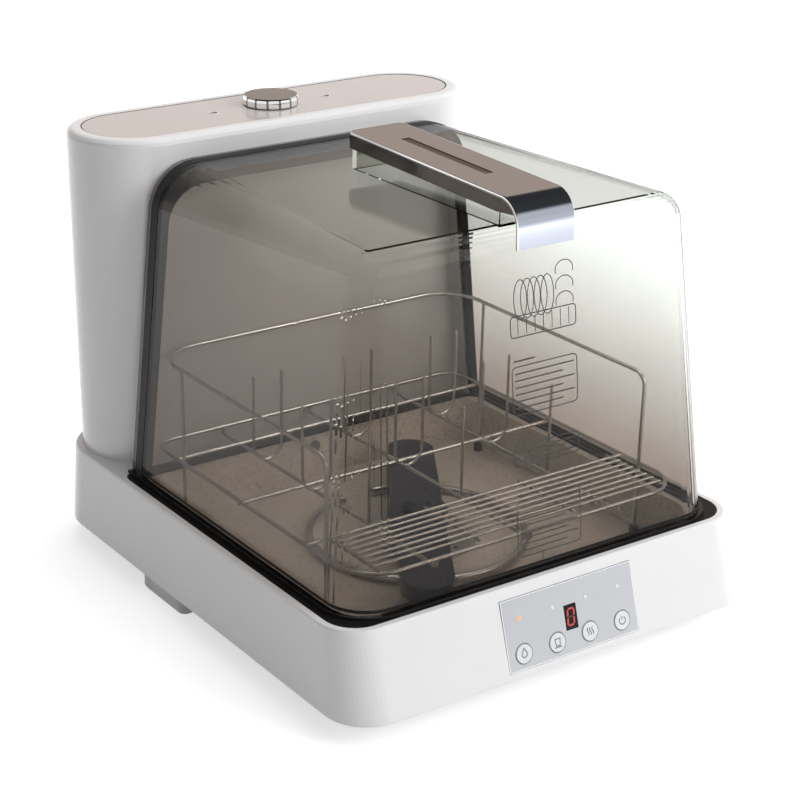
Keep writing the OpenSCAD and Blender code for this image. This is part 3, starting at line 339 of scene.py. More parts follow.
def glowing(name, base, strength):
    """A lit plastic, a little uneven."""
    mat, tree, bsdf, _ = new_material(name)
    shade = tone(tree, noise(tree, scale=700, detail=2), [c * 0.85 for c in base], base)
    tree.links.new(shade, bsdf.inputs["Base Color"])
    tree.links.new(shade, bsdf.inputs["Emission Color"])
    bsdf.inputs["Emission Strength"].default_value = strength
    bsdf.inputs["Roughness"].default_value = 0.3
    return mat


# The materials: plastics and rubber
WHITE = surface("white_shell", (0.80, 0.80, 0.81), 0.22, vary=0.012, scale=18, grain=0.04, grain_scale=1500,
                coat=0.25)
BASE_GREY = surface("base_grey", (0.45, 0.46, 0.48), 0.55, grain=0.15)
FOOT_GREY = surface("foot_grey", (0.70, 0.71, 0.73), 0.45, grain=0.10)
RUBBER = surface("foot_rubber", (0.035, 0.035, 0.038), 0.75, vary=0.15, grain=0.35, grain_scale=1400)
TUB = speckled("tub_speckle", (0.62, 0.57, 0.51), (0.43, 0.36, 0.29), 0.40, 420)
SEAL = surface("seal_black", (0.010, 0.010, 0.011), 0.42, vary=0.2, grain=0.08, grain_scale=500,
               specular=0.15)
INNER = surface("inner_grey", (0.20, 0.21, 0.22), 0.50, grain=0.12)
NAVY = surface("arm_navy", (0.018, 0.021, 0.036), 0.34, vary=0.12, coat=0.1, specular=0.3)
TAUPE = surface("panel_taupe", (0.60, 0.55, 0.54), 0.18, vary=0.02, scale=20, grain=0.03, coat=0.5)
DARK = surface("inlay_dark", (0.085, 0.058, 0.048), 0.45, vary=0.1, grain=0.1, specular=0.25)
WALL = surface("wall_grey", (0.50, 0.49, 0.48), 0.35, grain=0.08)
ORANGE = surface("float_orange", (0.70, 0.20, 0.03), 0.45, grain=0.05)
GREEN = surface("board_green", (0.03, 0.18, 0.07), 0.50, vary=0.15, scale=400)
HOSE = surface("hose_grey", (0.16, 0.16, 0.17), 0.60, vary=0.08, grain=0.2)
PLUG = surface("plug_rubber", (0.09, 0.09, 0.10), 0.65, vary=0.1, grain=0.2)

# Metals
STEEL = surface("steel_wire", (0.62, 0.61, 0.59), 0.20, metal=1.0, vary=0.06, scale=160, rough_scale=260,
                grain=0.05)
STEEL_FLAT = surface("steel_sheet", (0.60, 0.60, 0.61), 0.30, metal=1.0, vary=0.05, scale=120,
                     stretch=(1, 12, 1), grain=0.10, grain_scale=500)
CHROME = surface("chrome", (0.90, 0.90, 0.91), 0.06, metal=1.0, vary=0.02, rough_vary=0.02, rough_scale=60)
# A darker copy of the chrome: a painted dark reflection on the knob's bevels and top
CHROME_DARK_REFLECTION = surface("chrome_dark_reflection", (0.25, 0.22, 0.20), 0.08, metal=1.0, vary=0.04, rough_vary=0.02,
                     rough_scale=60)
STRAP = surface("strap_mirror", (0.46, 0.49, 0.56), 0.06, metal=1.0, vary=0.02, scale=14, rough_vary=0.02,
                rough_scale=50)
# A brighter copy of the strap's chrome: a painted highlight on the strap's edges and round the control panel
STRAP_EDGE_HIGHLIGHT = surface("strap_edge_highlight", (0.93, 0.93, 0.94), 0.18, metal=1.0, vary=0.02, scale=60)
# A dark copy of the strap's chrome: a painted dark reflection on the strap's underside and the inner face of
# its fold
STRAP_UNDER_DARK_REFLECTION = surface("strap_under", (0.16, 0.13, 0.12), 0.16, metal=1.0, vary=0.08, scale=40)
SKIRT = surface("strap_skirt", (0.24, 0.23, 0.22), 0.10, metal=1.0, vary=0.05, scale=30)

# Control panel, display and print
PANEL = surface("panel_blue_grey", (0.53, 0.55, 0.585), 0.20, vary=0.02, scale=25, grain=0.02, coat=0.4)
BUTTON = surface("button_grey", (0.72, 0.74, 0.78), 0.22, vary=0.015, grain=0.02, coat=0.4)
WINDOW = surface("window_black", (0.006, 0.005, 0.005), 0.08, vary=0.2, specular=0.2)
LAMP = surface("light_clear", (0.78, 0.78, 0.78), 0.25, scale=800)
LIT = glowing("light_orange", (0.95, 0.22, 0.06), 1.6)
RED = glowing("digit_red", (0.45, 0.04, 0.04), 0.55)
RED_DIM = surface("digit_dim", (0.060, 0.006, 0.006), 0.30, vary=0.2, scale=900)
INK = surface("print_ink", (0.030, 0.028, 0.026), 0.55, vary=0.2, scale=900)
INK_SOFT = surface("panel_ink", (0.05, 0.055, 0.065), 0.50, vary=0.15, scale=900)

# Clear plastics
# The hood's first three colours are its painted shade, middle and painted light; the tank takes the same ramp,
# faintly
HOOD = smoked("hood_smoke", (0.31, 0.275, 0.255), (0.47, 0.43, 0.40), (0.86, 0.885, 0.86), rough=0.008,
              lamp_tint=(0.72, 0.70, 0.67), rim=0.12)
TANK = smoked("tank_clear", (0.84, 0.88, 0.88), (0.87, 0.90, 0.90), (0.90, 0.93, 0.93), rough=0.12,
              lamp_tint=(0.95, 0.95, 0.95))

DRESS = {
    WHITE: ["base_shell", "tower_shell", "tower_cap", "fill_neck"],
    BASE_GREY: ["base_plate", "drain_spigot"],
    FOOT_GREY: ["side_feet"],
    RUBBER: ["front_feet", "rear_feet", "rack_feet"],
    TUB: ["wash_tub"],
    SEAL: ["tub_seal", "hood_gasket"],
    STEEL: ["rack_frame", "rack_grid", "rack_prongs", "cutlery_shelf", "heater", "hinge_rod", "base_screws"],
    STEEL_FLAT: ["filter_plate", "filter_cup", "hinge_bracket", "hood_knuckles"],
    INNER: ["sump", "spray_pivot", "wash_pump", "drain_pump"],
    NAVY: ["spray_arm", "arm_cap"],
    TAUPE: ["top_panel"],
    TANK: ["water_tank"],
    CHROME: ["fill_knob"],
    STRAP: ["handle"],
    DARK: ["handle_inlay", "power_inlet"],
    WALL: ["back_frame", "float_stem", "wash_impeller", "drain_impeller"],
    HOOD: ["hood"],
    PLUG: ["cap_plug"],
    ORANGE: ["tank_float"],
    PANEL: ["control_panel"],
    WINDOW: ["display_window"],
    RED_DIM: ["display_module"],
    GREEN: ["control_board"],
    BUTTON: ["button_1", "button_2", "button_3", "button_4"],
    LIT: ["indicator_1"],
    LAMP: ["indicator_2", "indicator_3", "indicator_4"],
    HOSE: ["wash_hose", "drain_hose", "tank_hose", "spray_hose"],
}


def dress_nodes():
    """Give every CAD node its material."""
    for mat, names in DRESS.items():
        for name in names:
            node = NODES[name]
            if not node.material_slots:
                node.data.materials.append(mat)
            for slot in node.material_slots:
                slot.material = mat


# Pieces added to the frame
def clean_normals(bm, me):
    """Turn all faces outwards and write the mesh."""
    bmesh.ops.recalc_face_normals(bm, faces=bm.faces)
    bm.to_mesh(me)
    bm.free()


def mesh_piece(name, verts, faces, mat, body):
    me = bpy.data.meshes.new(name)
    me.from_pydata([tuple(v) for v in verts], [], faces)
    bm = bmesh.new()
    bm.from_mesh(me)
    clean_normals(bm, me)
    me.materials.append(mat)
    ob = add_object(name, me)
    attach(ob, body)
    return ob


def finish_smooth(ob, angle):
    """Smooth shading that keeps every edge sharper than the angle, in degrees."""
    ob.data.shade_smooth()
    ob.data.set_sharp_from_angle(angle=math.radians(angle))


class Print:
    """Thin raised strips and patches on a surface, gathered into one piece."""

    def __init__(self, place, lift):
        self.place = place
        self.lift = lift
        self.verts = []
        self.faces = []

    def strip(self, points, width, closed=False):
        """A strip along a line, mitred at its corners."""
        n = len(points)
        pts = [Vector(p) for p in points]
        start = len(self.verts)
        for i, p in enumerate(pts):
            before = pts[(i - 1) % n] if closed or i else p
            after = pts[(i + 1) % n] if closed or i < n - 1 else p
            d1 = (p - before).normalized() if (p - before).length else (after - p).normalized()
            d2 = (after - p).normalized() if (after - p).length else d1
            side = Vector((-d1.y, d1.x))
            mitre = Vector((-(d1.y + d2.y), d1.x + d2.x))
            mitre = mitre.normalized() if mitre.length > 1e-9 else side
            reach = width / 2 / max(MITRE_LIMIT, mitre.dot(side))
            for q in (p + mitre * reach, p - mitre * reach):
                self.verts.append(self.place(q.x, q.y, -PRINT_SINK))
                self.verts.append(self.place(q.x, q.y, self.lift))
        for i in range(n if closed else n - 1):
            a = start + 4 * i
            b = start + 4 * ((i + 1) % n)
            self.faces += [(a + 1, a + 3, b + 3, b + 1), (a, b, b + 2, a + 2)]
            self.faces += [(a, a + 1, b + 1, b), (a + 2, b + 2, b + 3, a + 3)]
        if not closed:
            end = start + 4 * (n - 1)
            self.faces += [(start, start + 2, start + 3, start + 1), (end, end + 1, end + 3, end + 2)]

    def patch(self, points):
        """A flat filled outline."""
        start = len(self.verts)
        n = len(points)
        for out in (-PRINT_SINK, self.lift):
            self.verts += [self.place(x, y, out) for x, y in points]
        self.faces.append(tuple(range(start + n, start + 2 * n)))
        self.faces.append(tuple(range(start + n - 1, start - 1, -1)))
        for i in range(n):
            j = (i + 1) % n
            self.faces.append((start + i, start + j, start + n + j, start + n + i))

    def piece(self, name, mat, body):
        return mesh_piece(name, self.verts, self.faces, mat, body)


# Print on the hood's front wall: a plain drawing of a filled rack over three ruled boxes
PRINT_X0 = -0.026
PRINT_X1 = 0.037
FRAME_LINE = 0.0008
THIN_LINE = 0.0007
WIRE_LINE = 0.0006
TEXT_LINE = 0.0010
HEADING_LINE = 0.0012
BASKET_Z = (0.2770, 0.2930)
WIRE_Z = (0.2785, 0.2915)
PLATE_Z = 0.3050
PLATE_R = (0.0062, 0.0150)
CUP_X = 0.0265
CUP_Z = 0.2970
CUP_R = (0.0085, 0.0070)
RULED_BOXES = ((0.2170, 0.2545, 6), (0.1765, 0.1930, 3), (0.1035, 0.1485, 8))
STROKE_Z = (0.1035, 0.0960)


def draw_rack(p):
    """A basket with wires, five upright plates and three cups."""
    p.strip(rounded(PRINT_X0, BASKET_Z[0], PRINT_X1, BASKET_Z[1], 0.003), FRAME_LINE, True)
    for k in range(5):
        p.strip(circle(PRINT_X0 + 0.010 + 0.0065 * k, PLATE_Z, PLATE_R[0], 32, PLATE_R[1]), THIN_LINE, True)
    for k in range(3):
        p.strip(arc(CUP_X, CUP_Z + 0.012 * k, CUP_R[0], 200, -20, 28, CUP_R[1]), THIN_LINE)
    for k in range(7):
        x = PRINT_X0 + 0.007 + 0.0082 * k
        p.strip([(x, z) for z in WIRE_Z], WIRE_LINE)


def draw_ruled_box(p, z0, z1, lines):
    """A round-cornered frame with a heading stroke over it and plain lines in it."""
    p.strip(rounded(PRINT_X0, z0, PRINT_X1, z1, 0.004), FRAME_LINE, True)
    heading_z = z1 + 0.0045
    p.strip([(PRINT_X0 + 0.002, heading_z), (PRINT_X0 + 0.022, heading_z)], HEADING_LINE)
    for k in range(lines):
        z = z1 - (z1 - z0) * (k + 1) / (lines + 1)
        short = 0.011 * (k % 2)
        p.strip([(PRINT_X0 + 0.003, z), (PRINT_X1 - 0.003 - short, z)], TEXT_LINE)


def build_hood_print():
    p = Print(hood_point, 0.00012)
    draw_rack(p)
    p.strip([(PRINT_X0 + 0.024, z) for z in STROKE_Z], THIN_LINE)
    for z0, z1, lines in RULED_BOXES:
        draw_ruled_box(p, z0, z1, lines)
    p.piece("hood_print", INK, "hood")


# Rings and plain symbols on the buttons
BUTTON_RING_R = 0.00785
BUTTON_RING_LINE = 0.00045
SYMBOL_LINE = 0.0007
SYMBOL_Y = 0.0003


def draw_drop(p, y):
    """Water: a drop."""
    p.strip([(0, y + 0.0042)] + arc(0, y - 0.0006, 0.0026, 35, -215, 20), SYMBOL_LINE, True)


def draw_level(p, y):
    """Level: a cup over a line."""
    cup = [(-0.0026, y + 0.0026), (-0.0018, y - 0.0030), (0.0018, y - 0.0030), (0.0026, y + 0.0026)]
    p.strip(cup, SYMBOL_LINE, True)
    p.strip([(-0.0036, y - 0.0042), (0.0036, y - 0.0042)], SYMBOL_LINE)


def draw_heat(p, y):
    """Heat: three waving lines."""
    for x in (-0.0024, 0.0, 0.0024):
        wave = [(x, y - 0.0034), (x + 0.0008, y - 0.0016), (x - 0.0008, y + 0.0010), (x, y + 0.0032)]
        p.strip(wave, SYMBOL_LINE)


def draw_power(p, y):
    """Power: an open ring with a stroke."""
    p.strip(arc(0, y - 0.0004, 0.0031, 125, 415, 28), SYMBOL_LINE)
    p.strip([(0, y + 0.0004), (0, y + 0.0036)], SYMBOL_LINE)


def button_place(x0):
    """Places on the face of the button whose middle is x0 from the base's middle."""
    return lambda x, y, out: face_point(x0 + x, BUTTON_DROP - y, BUTTON_PROUD + out)


def build_button_marks():
    for i, draw in enumerate((draw_drop, draw_level, draw_heat, draw_power)):
        x = PANEL_X + (i - (BUTTON_COUNT - 1) / 2) * BUTTON_PITCH
        p = Print(button_place(x), 0.00008)
        p.strip(circle(0, 0, BUTTON_RING_R, 56), BUTTON_RING_LINE, True)
        draw(p, SYMBOL_Y)
        p.piece("button_mark_%d" % (i + 1), INK_SOFT, "button_%d" % (i + 1))


# Seven-segment figure behind the window, the plain number 0
DIGIT_LEAN = 0.10
DIGIT_LIFT = 0.00006
DIGIT_TOP = 0.0066
DIGIT_SIDE = 0.0031
SEGMENT_T = 0.00075
LYING_L = 0.0056
UPRIGHT_L = 0.0060


def digit_point(x, y, out):
    return panel_point(x + DIGIT_LEAN * y, y, out)


def draw_segment(p, cx, cy, length, upright):
    t, h = SEGMENT_T, length / 2
    outline = [(-h, 0), (-h + t, t), (h - t, t), (h, 0), (h - t, -t), (-h + t, -t)]
    p.patch([(cx + (y if upright else x), cy + (x if upright else y)) for x, y in outline])


def build_digit():
    lit = Print(digit_point, DIGIT_LIFT)
    for y in (-DIGIT_TOP, DIGIT_TOP):
        draw_segment(lit, 0, y, LYING_L, False)
    for x in (-DIGIT_SIDE, DIGIT_SIDE):
        for y in (-DIGIT_TOP / 2, DIGIT_TOP / 2):
            draw_segment(lit, x, y, UPRIGHT_L, True)
    unlit = Print(digit_point, DIGIT_LIFT)
    draw_segment(unlit, 0, 0, LYING_L, False)
    lit.piece("digit_lit", RED, "base")
    unlit.piece("digit_unlit", RED_DIM, "base")


# Handle strap: a bent plate with a recessed slot and dark skirts under it; its edges are in a brighter chrome,
# a painted highlight, and its underside in a dark chrome, a painted dark reflection.
# Its side view is given in y and z, and angles are those of its outward normal, in degrees.
STRAP_HALF = 0.027
STRAP_T = 0.0026
STRAP_EDGE_R = 0.0007
STRAP_BREAK = 0.0003
STRAP_FLAT_IN = 0.0005
STRAP_REAR = Vector((0.029, 0.389))
STRAP_REAR_R = 0.006
STRAP_SLOPE = math.degrees(math.atan(6 / 198))
FOLD_MIDDLE = Vector((-0.169, 0.361))
FOLD_R = 0.022
FOLD_STEPS = 28
FOLD_END = 176
LIP_ANGLE = 176.4
LIP_END = Vector((-0.192, 0.346))
END_IN = 0.0004
SLOT_Y = (-0.122, -0.012)
SLOT_HALF = 0.004
SLOT_DEPTH = 0.0012
SKIRT_X = (0.0243, 0.0258)
SKIRT_TOP_Z = 0.3860
SKIRT_LOW_Z = 0.3750
SKIRT_FRONT = (-0.1630, 0.3690)
SKIRT_FOLD_R = 0.0200
REAR_WALL_Y = (0.0263, 0.0278)
STRAP_FINISHES = (STRAP, STRAP_EDGE_HIGHLIGHT, STRAP_UNDER_DARK_REFLECTION, DARK, SKIRT)
MIRROR, EDGE_HIGHLIGHT, UNDER_DARK_REFLECTION, SLOT, SIDE = range(5)


def on_circle(middle, r, angle):
    """A point on a circle in the strap's side view."""
    a = math.radians(angle)
    return middle.x + r * math.cos(a), middle.y + r * math.sin(a)


def strap_rows():
    """Rows across the plate, from rear to lip: place, angle, half width and how deep its skin lies."""
    rows = []

    def on_top(y, half, sink=0.0):
        z = STRAP_REAR.y - (STRAP_REAR.x - y) * math.tan(math.radians(STRAP_SLOPE))
        rows.append((y, z, 90 + STRAP_SLOPE, half, sink))

    straight = STRAP_HALF - STRAP_REAR_R
    on_top(STRAP_REAR.x, straight - END_IN, STRAP_EDGE_R)
    on_top(STRAP_REAR.x - END_IN / 2, straight, STRAP_EDGE_R * 0.3)
    for a in (75, 60, 45, 30, 15, 0):
        along, across = STRAP_REAR_R * math.sin(math.radians(a)), STRAP_REAR_R * math.cos(math.radians(a))
        on_top(STRAP_REAR.x - STRAP_REAR_R + along, straight + across)
    for y in (STRAP_REAR.x - STRAP_REAR_R - 0.001, SLOT_Y[1], SLOT_Y[0], FOLD_MIDDLE.x + 0.001):
        on_top(y, STRAP_HALF)
    for i in range(FOLD_STEPS + 1):
        angle = 90 + STRAP_SLOPE + (FOLD_END - 90 - STRAP_SLOPE) * i / FOLD_STEPS
        y, z = on_circle(FOLD_MIDDLE, FOLD_R, angle)
        rows.append((y, z, angle, STRAP_HALF, 0.0))
    for share in (0.06, 0.96):
        y, z = Vector(on_circle(FOLD_MIDDLE, FOLD_R, FOLD_END)).lerp(LIP_END, share)
        rows.append((y, z, LIP_ANGLE, STRAP_HALF, 0.0))
    rows.append((LIP_END.x, LIP_END.y, LIP_ANGLE, STRAP_HALF - STRAP_BREAK, END_IN))
    return rows


def strap_section(half):
    """Points (x, depth) round one row, from the slot's edge over the right side and back."""
    r = STRAP_EDGE_R
    side = [(SLOT_HALF, 0.0), (half - r - STRAP_FLAT_IN, 0.0), (half - r, 0.0)]
    for a in (30, 60, 90):
        side.append((half - r + r * math.sin(math.radians(a)), r - r * math.cos(math.radians(a))))
    side += [(half, STRAP_T - STRAP_BREAK), (half - STRAP_BREAK, STRAP_T)]
    return side + [(-x, d) for x, d in reversed(side)]


def strap_plate():
    """Vertices, faces and each face's finish. The span in the middle of the top holds the slot."""
    verts, faces, finishes = [], [], []
    rows = strap_rows()
    n = len(strap_section(STRAP_HALF))
    for y, z, angle, half, sink in rows:
        c, s = math.cos(math.radians(angle)), math.sin(math.radians(angle))
        for x, depth in strap_section(half):
            d = max(depth, sink)
            verts.append((x, y - d * c, z - d * s))
    middle = n - 1
    # The underside span takes the painted dark reflection, the edge spans the painted highlight
    finish_of = {n // 2 - 1: UNDER_DARK_REFLECTION}
    for span in (0, 1, n - 3, n - 2, middle):
        finish_of[span] = MIRROR
    for i in range(len(rows) - 1):
        has_slot = rows[i][0] == SLOT_Y[1]
        for j in range(n):
            if j == middle and has_slot:
                continue
            a, b = i * n + j, i * n + (j + 1) % n
            faces.append((a, b, b + n, a + n))
            finishes.append(finish_of.get(j, EDGE_HIGHLIGHT))
        if has_slot:
            corners = [i * n + middle, i * n, (i + 1) * n, (i + 1) * n + middle]
            start = len(verts)
            for v in corners:
                x, y, z = verts[v]
                verts.append((x, y + SLOT_DEPTH * math.sin(math.radians(STRAP_SLOPE)), z - SLOT_DEPTH))
            for k in range(4):
                m = (k + 1) % 4
                faces.append((corners[k], corners[m], start + m, start + k))
            faces.append(tuple(range(start, start + 4)))
            finishes += [SLOT] * 5
    for first in (0, (len(rows) - 1) * n):
        faces.append(tuple(range(first, first + n)))
        finishes.append(EDGE_HIGHLIGHT)
    return verts, faces, finishes


def add_prism(bm, first, second):
    """A closed solid between two outlines of equal length."""
    rings = [[bm.verts.new(v) for v in outline] for outline in (first, second)]
    made = [bm.faces.new(ring) for ring in rings]
    a, b = rings
    for k in range(len(a)):
        m = (k + 1) % len(a)
        made.append(bm.faces.new((a[k], a[m], b[m], b[k])))
    for face in made:
        face.material_index = SIDE


def add_skirts(bm):
    """Walls under the plate at both sides and at the rear."""
    side = [(REAR_WALL_Y[1], SKIRT_TOP_Z), (REAR_WALL_Y[1], SKIRT_LOW_Z), SKIRT_FRONT]
    side += [on_circle(FOLD_MIDDLE, SKIRT_FOLD_R, a) for a in (150, 135, 120, 105, 92)]
    for sign in (-1, 1):
        add_prism(bm, *[[(sign * x, y, z) for y, z in side] for x in SKIRT_X])
    x, (y0, y1) = SKIRT_X[0], REAR_WALL_Y
    rear = ((-x, y0), (x, y0), (x, y1), (-x, y1))
    add_prism(bm, *[[(x, y, z) for x, y in rear] for z in (SKIRT_LOW_Z, SKIRT_TOP_Z)])


def build_strap():
    verts, faces, finishes = strap_plate()
    me = bpy.data.meshes.new("strap")
    me.from_pydata(verts, [], faces)
    for mat in STRAP_FINISHES:
        me.materials.append(mat)
    for poly, finish in zip(me.polygons, finishes):
        poly.material_index = finish
    bm = bmesh.new()
    bm.from_mesh(me)
    add_skirts(bm)
    clean_normals(bm, me)
    ob = add_object("strap", me)
    finish_smooth(ob, 35)
    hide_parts("handle")
    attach(ob, "hood")


# Fill knob: a low drum with flats round its side, a narrow bevel between two flats, and a flat mirror top; the
# bevels and the top are in a darker chrome, a painted dark reflection.
# Its side is given as radius and height.
KNOB_FLATS = 14
KNOB_BEVEL = math.radians(5)
KNOB_SIDE = ((0.0242, 0.3764), (0.0245, 0.3774), (0.0245, 0.3814), (0.0241, 0.3834), (0.0234, 0.3846))


def build_knob():
    n = 2 * KNOB_FLATS
    verts, faces = [], []
    for r, z in KNOB_SIDE:
        for k in range(KNOB_FLATS):
            middle = 2 * math.pi * k / KNOB_FLATS
            for a in (middle - KNOB_BEVEL / 2, middle + KNOB_BEVEL / 2):
                verts.append((r * math.cos(a), TOP_MIDDLE_Y + r * math.sin(a), z))
    top = (len(KNOB_SIDE) - 1) * n
    for level in range(0, top, n):
        for k in range(n):
            a, b = level + k, level + (k + 1) % n
            faces.append((a, b, b + n, a + n))
    faces.append(tuple(range(n)))
    faces.append(tuple(range(top, top + n)))
    knob = mesh_piece("knob_drum", verts, faces, CHROME, "knob")
    # The bevel strips and the top take the darker chrome: a painted dark reflection
    knob.data.materials.append(CHROME_DARK_REFLECTION)
    for k, poly in enumerate(knob.data.polygons[:-2]):
        poly.material_index = 1 if k % 2 == 0 else 0
    knob.data.polygons[-1].material_index = 1
    finish_smooth(knob, 11)
    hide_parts("fill_knob")


# Thin dark lips on the hood's outside, taken from the hood's own form
LIP_T = 0.00035
ARCH_TOP_Z = 0.30


def build_lip(name, axis, low, high, keep):
    """A lip between two places along an axis, of those faces that keep(middle, normal) names."""
    me = NODES["hood"].data.copy()
    me.name = name
    bm = bmesh.new()
    bm.from_mesh(me)
    bmesh.ops.remove_doubles(bm, verts=bm.verts, dist=1e-6)
    for place, side in ((low, 1), (high, -1)):
        everything = bm.verts[:] + bm.edges[:] + bm.faces[:]
        bmesh.ops.bisect_plane(bm, geom=everything, plane_co=axis * place, plane_no=axis * side,
                               clear_inner=True, dist=1e-7)
    bm.normal_update()
    dropped = [f for f in bm.faces if not keep(f.calc_center_median(), f.normal)]
    bmesh.ops.delete(bm, geom=dropped, context="FACES")
    bm.to_mesh(me)
    bm.free()
    me.materials.clear()
    me.materials.append(SEAL)
    ob = add_object(name, me)
    thick = ob.modifiers.new("lip", "SOLIDIFY")
    thick.thickness = LIP_T
    thick.offset = 1.0
    deps = bpy.context.evaluated_depsgraph_get()
    done = bpy.data.meshes.new_from_object(ob.evaluated_get(deps))
    ob.modifiers.clear()
    ob.data = done
    finish_smooth(ob, 30)
    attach(ob, "hood")


def is_outer_arch(c, n):
    """True for the outer skin of the hood's side walls and top."""
    return c.x * n.x + max(0.0, c.z - ARCH_TOP_Z) * n.z * 2 > 0 and abs(n.y) < 0.5


def is_outer_wall(c, n):
    """True for the outer skin of the hood's upright walls."""
    return c.x * n.x + (c.y - HOOD_MIDDLE_Y) * n.y > 0


def build_lips():
    along_y, along_z = Vector((0, 1, 0)), Vector((0, 0, 1))
    build_lip("gasket_lip", along_y, 0.1120, 0.1230, lambda c, n: c.z > 0.0935 and is_outer_arch(c, n))
    build_lip("foot_lip", along_z, 0.0905, 0.0928,
              lambda c, n: abs(n.z) < 0.3 and c.y < 0.128 and is_outer_wall(c, n))
    build_lip("foot_line", along_z, 0.0940, 0.0965, lambda c, n: c.y < 0.112 and is_outer_wall(c, n))


def build_top_trim():
    """A thin line round the tower's top panel, and white rims round its vents, a painted highlight on their
    edges.
    """
    line = Print(top_point, 0.00015)
    right_end = arc(TOP_END_X, TOP_MIDDLE_Y, TOP_END_R, -90, 90, 40)
    left_end = arc(-TOP_END_X, TOP_MIDDLE_Y, TOP_END_R, 90, 270, 40)
    line.strip(right_end + left_end, 0.0008, True)
    line.piece("top_line", INK_SOFT, "base")
    for i, x in enumerate((-VENT_X, VENT_X)):
        # White rings round the vents: a painted highlight
        rim = Print(top_point, 0.0003)
        rim.strip(circle(x, TOP_MIDDLE_Y, VENT_RIM_R, 40), 0.0011, True)
        rim.piece("vent_rim_highlight_%d" % (i + 1), WHITE, "base")


def build_panel_edge():
    """A thin bright line round the control panel, a painted highlight on its edge."""
    inset = 0.0005
    w, h = PANEL_W / 2 - inset, PANEL_H / 2 - inset
    edge = Print(panel_point, 0.00015)
    edge.strip([(-w, -h), (w, -h), (w, h), (-w, h)], 0.0004, True)
    edge.piece("panel_edge", STRAP_EDGE_HIGHLIGHT, "base")


# Stage, light and surrounding
def build_floor():
    """A pale floor that looks white further out and keeps the object's shadow."""
    h = FLOOR_HALF
    me = bpy.data.meshes.new("floor")
    me.from_pydata([(-h, -h, 0), (h, -h, 0), (h, h, 0), (-h, h, 0)], [], [(0, 1, 2, 3)])
    floor = add_object("floor", me)
    mat, tree, bsdf, out = new_material("floor_white")
    pale = tone(tree, noise(tree, scale=3, detail=2), (0.78, 0.78, 0.78), (0.82, 0.82, 0.82))
    tree.links.new(pale, bsdf.inputs["Base Color"])
    bsdf.inputs["Roughness"].default_value = 0.8
    path = tree.nodes.new("ShaderNodeLightPath")
    seen = any_of(tree, [path.outputs[k] for k in ("Is Camera Ray", "Is Glossy Ray", "Is Transmission Ray")])
    coord = tree.nodes.new("ShaderNodeTexCoord")
    reach = tree.nodes.new("ShaderNodeVectorMath")
    reach.operation = "LENGTH"
    tree.links.new(coord.outputs["Object"], reach.inputs[0])
    fade = map_range(tree, reach.outputs["Value"], FLOOR_GLOW_NEAR, 1.0, FLOOR_NEAR, FLOOR_FAR)
    glow = tree.nodes.new("ShaderNodeEmission")
    glow.inputs["Color"].default_value = WHITE_LIGHT
    tree.links.new(math_node(tree, "MULTIPLY", seen, fade), glow.inputs["Strength"])
    both = tree.nodes.new("ShaderNodeAddShader")
    tree.links.new(bsdf.outputs[0], both.inputs[0])
    tree.links.new(glow.outputs[0], both.inputs[1])
    tree.links.new(both.outputs[0], out.inputs[0])
    me.materials.append(mat)


# Colours of the room from straight down, 0, over the horizon, 0.5, to straight up, 1
REAR_ROOM = ((0.0, (0.60, 0.60, 0.61)), (1.0, (0.05, 0.05, 0.05)), (0.50, (0.70, 0.68, 0.67)),
             (0.60, (0.58, 0.46, 0.37)), (0.76, (0.72, 0.58, 0.46)), (0.82, (0.06, 0.06, 0.06)))
FRONT_ROOM = ((0.0, (0.60, 0.60, 0.61)), (1.0, (0.05, 0.05, 0.05)), (0.50, (0.90, 0.93, 1.0)),
              (0.74, (1.0, 1.0, 1.0)), (0.80, (0.08, 0.08, 0.08)))


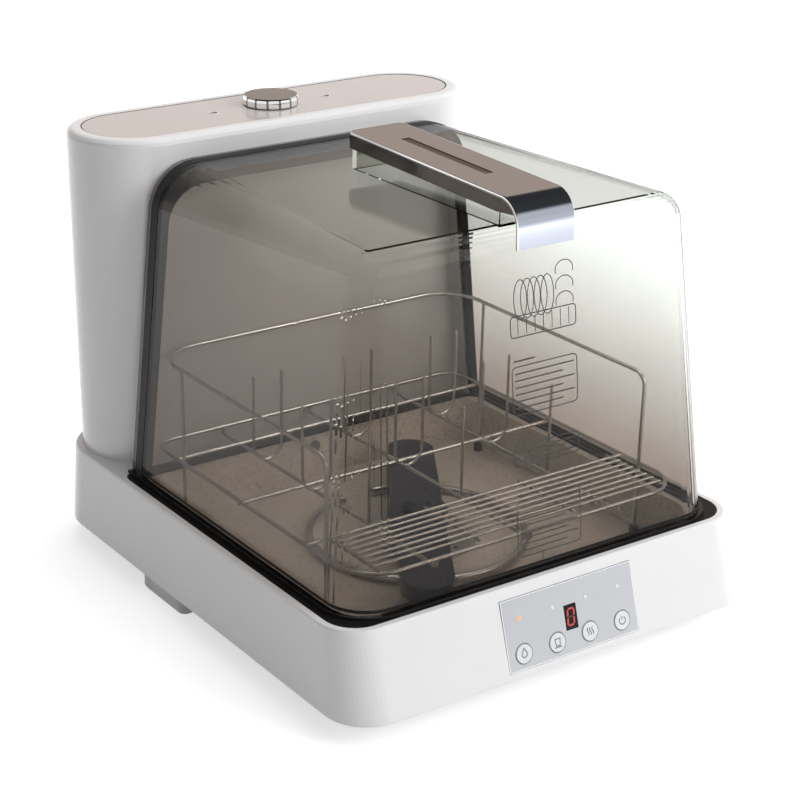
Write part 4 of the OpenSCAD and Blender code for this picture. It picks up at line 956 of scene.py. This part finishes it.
def build_world():
    """White where it is seen, and for light a room with a brown rear, a bright front and a dark ceiling."""
    world = bpy.data.worlds.new("world")
    bpy.context.scene.world = world
    world.use_nodes = True
    tree = world.node_tree
    tree.nodes.clear()
    path = tree.nodes.new("ShaderNodeLightPath")
    coord = tree.nodes.new("ShaderNodeTexCoord")
    split = tree.nodes.new("ShaderNodeSeparateXYZ")
    tree.links.new(coord.outputs["Generated"], split.inputs[0])
    x, y, z = (split.outputs[k] for k in "XYZ")

    height = map_range(tree, z, 0.0, 1.0, from_min=-1.0)
    rear = color_ramp(tree, height, REAR_ROOM)
    front = color_ramp(tree, height, FRONT_ROOM)
    to_rear = map_range(tree, y, 0.0, 1.0, from_min=-0.25, from_max=0.25, smooth=True)
    mirrored = mix_color(tree, to_rear, front, rear)
    room = tree.nodes.new("ShaderNodeBackground")
    shade = mix_color(tree, path.outputs["Is Diffuse Ray"], mirrored, ROOM_SOFT)
    tree.links.new(shade, room.inputs["Color"])
    strength = map_range(tree, x, ROOM_LEFT, ROOM_RIGHT, from_min=-0.8, from_max=0.3, smooth=True)
    tree.links.new(strength, room.inputs["Strength"])

    white = tree.nodes.new("ShaderNodeBackground")
    white.inputs["Color"].default_value = WHITE_LIGHT
    near_horizon = map_range(tree, z, 1.0, 0.0, from_min=0.10, from_max=0.30, smooth=True)
    low_mirror = math_node(tree, "MULTIPLY", path.outputs["Is Glossy Ray"], near_horizon)
    seen = [path.outputs["Is Camera Ray"], path.outputs["Is Transmission Ray"], low_mirror]
    mix = tree.nodes.new("ShaderNodeMixShader")
    tree.links.new(any_of(tree, seen), mix.inputs["Fac"])
    tree.links.new(room.outputs[0], mix.inputs[1])
    tree.links.new(white.outputs[0], mix.inputs[2])
    out = tree.nodes.new("ShaderNodeOutputWorld")
    tree.links.new(mix.outputs[0], out.inputs[0])


def build_lamp(name, place, aim, size, power, colour=(1, 1, 1)):
    """A soft rectangular lamp that mirrors don't show."""
    data = bpy.data.lights.new(name, "AREA")
    data.shape = "RECTANGLE"
    data.size, data.size_y = size
    data.energy = power
    data.color = colour
    lamp = add_object(name, data)
    lamp.location = place
    lamp.rotation_euler = (Vector(aim) - Vector(place)).to_track_quat("-Z", "Y").to_euler()
    lamp.visible_glossy = False


dress_nodes()
build_hood_print()
build_button_marks()
build_digit()
build_strap()
build_knob()
build_lips()
build_top_trim()
build_panel_edge()
build_floor()
build_world()
build_lamp("key", (1.2, -1.9, 1.3), (0, 0, 0.15), (1.4, 1.2), 33, (1.0, 0.99, 0.97))
build_lamp("top", (0.5, 0.2, 2.2), (0, 0, 0.1), (1.6, 1.2), 20)

bpy.context.scene.view_settings.view_transform = "Standard"
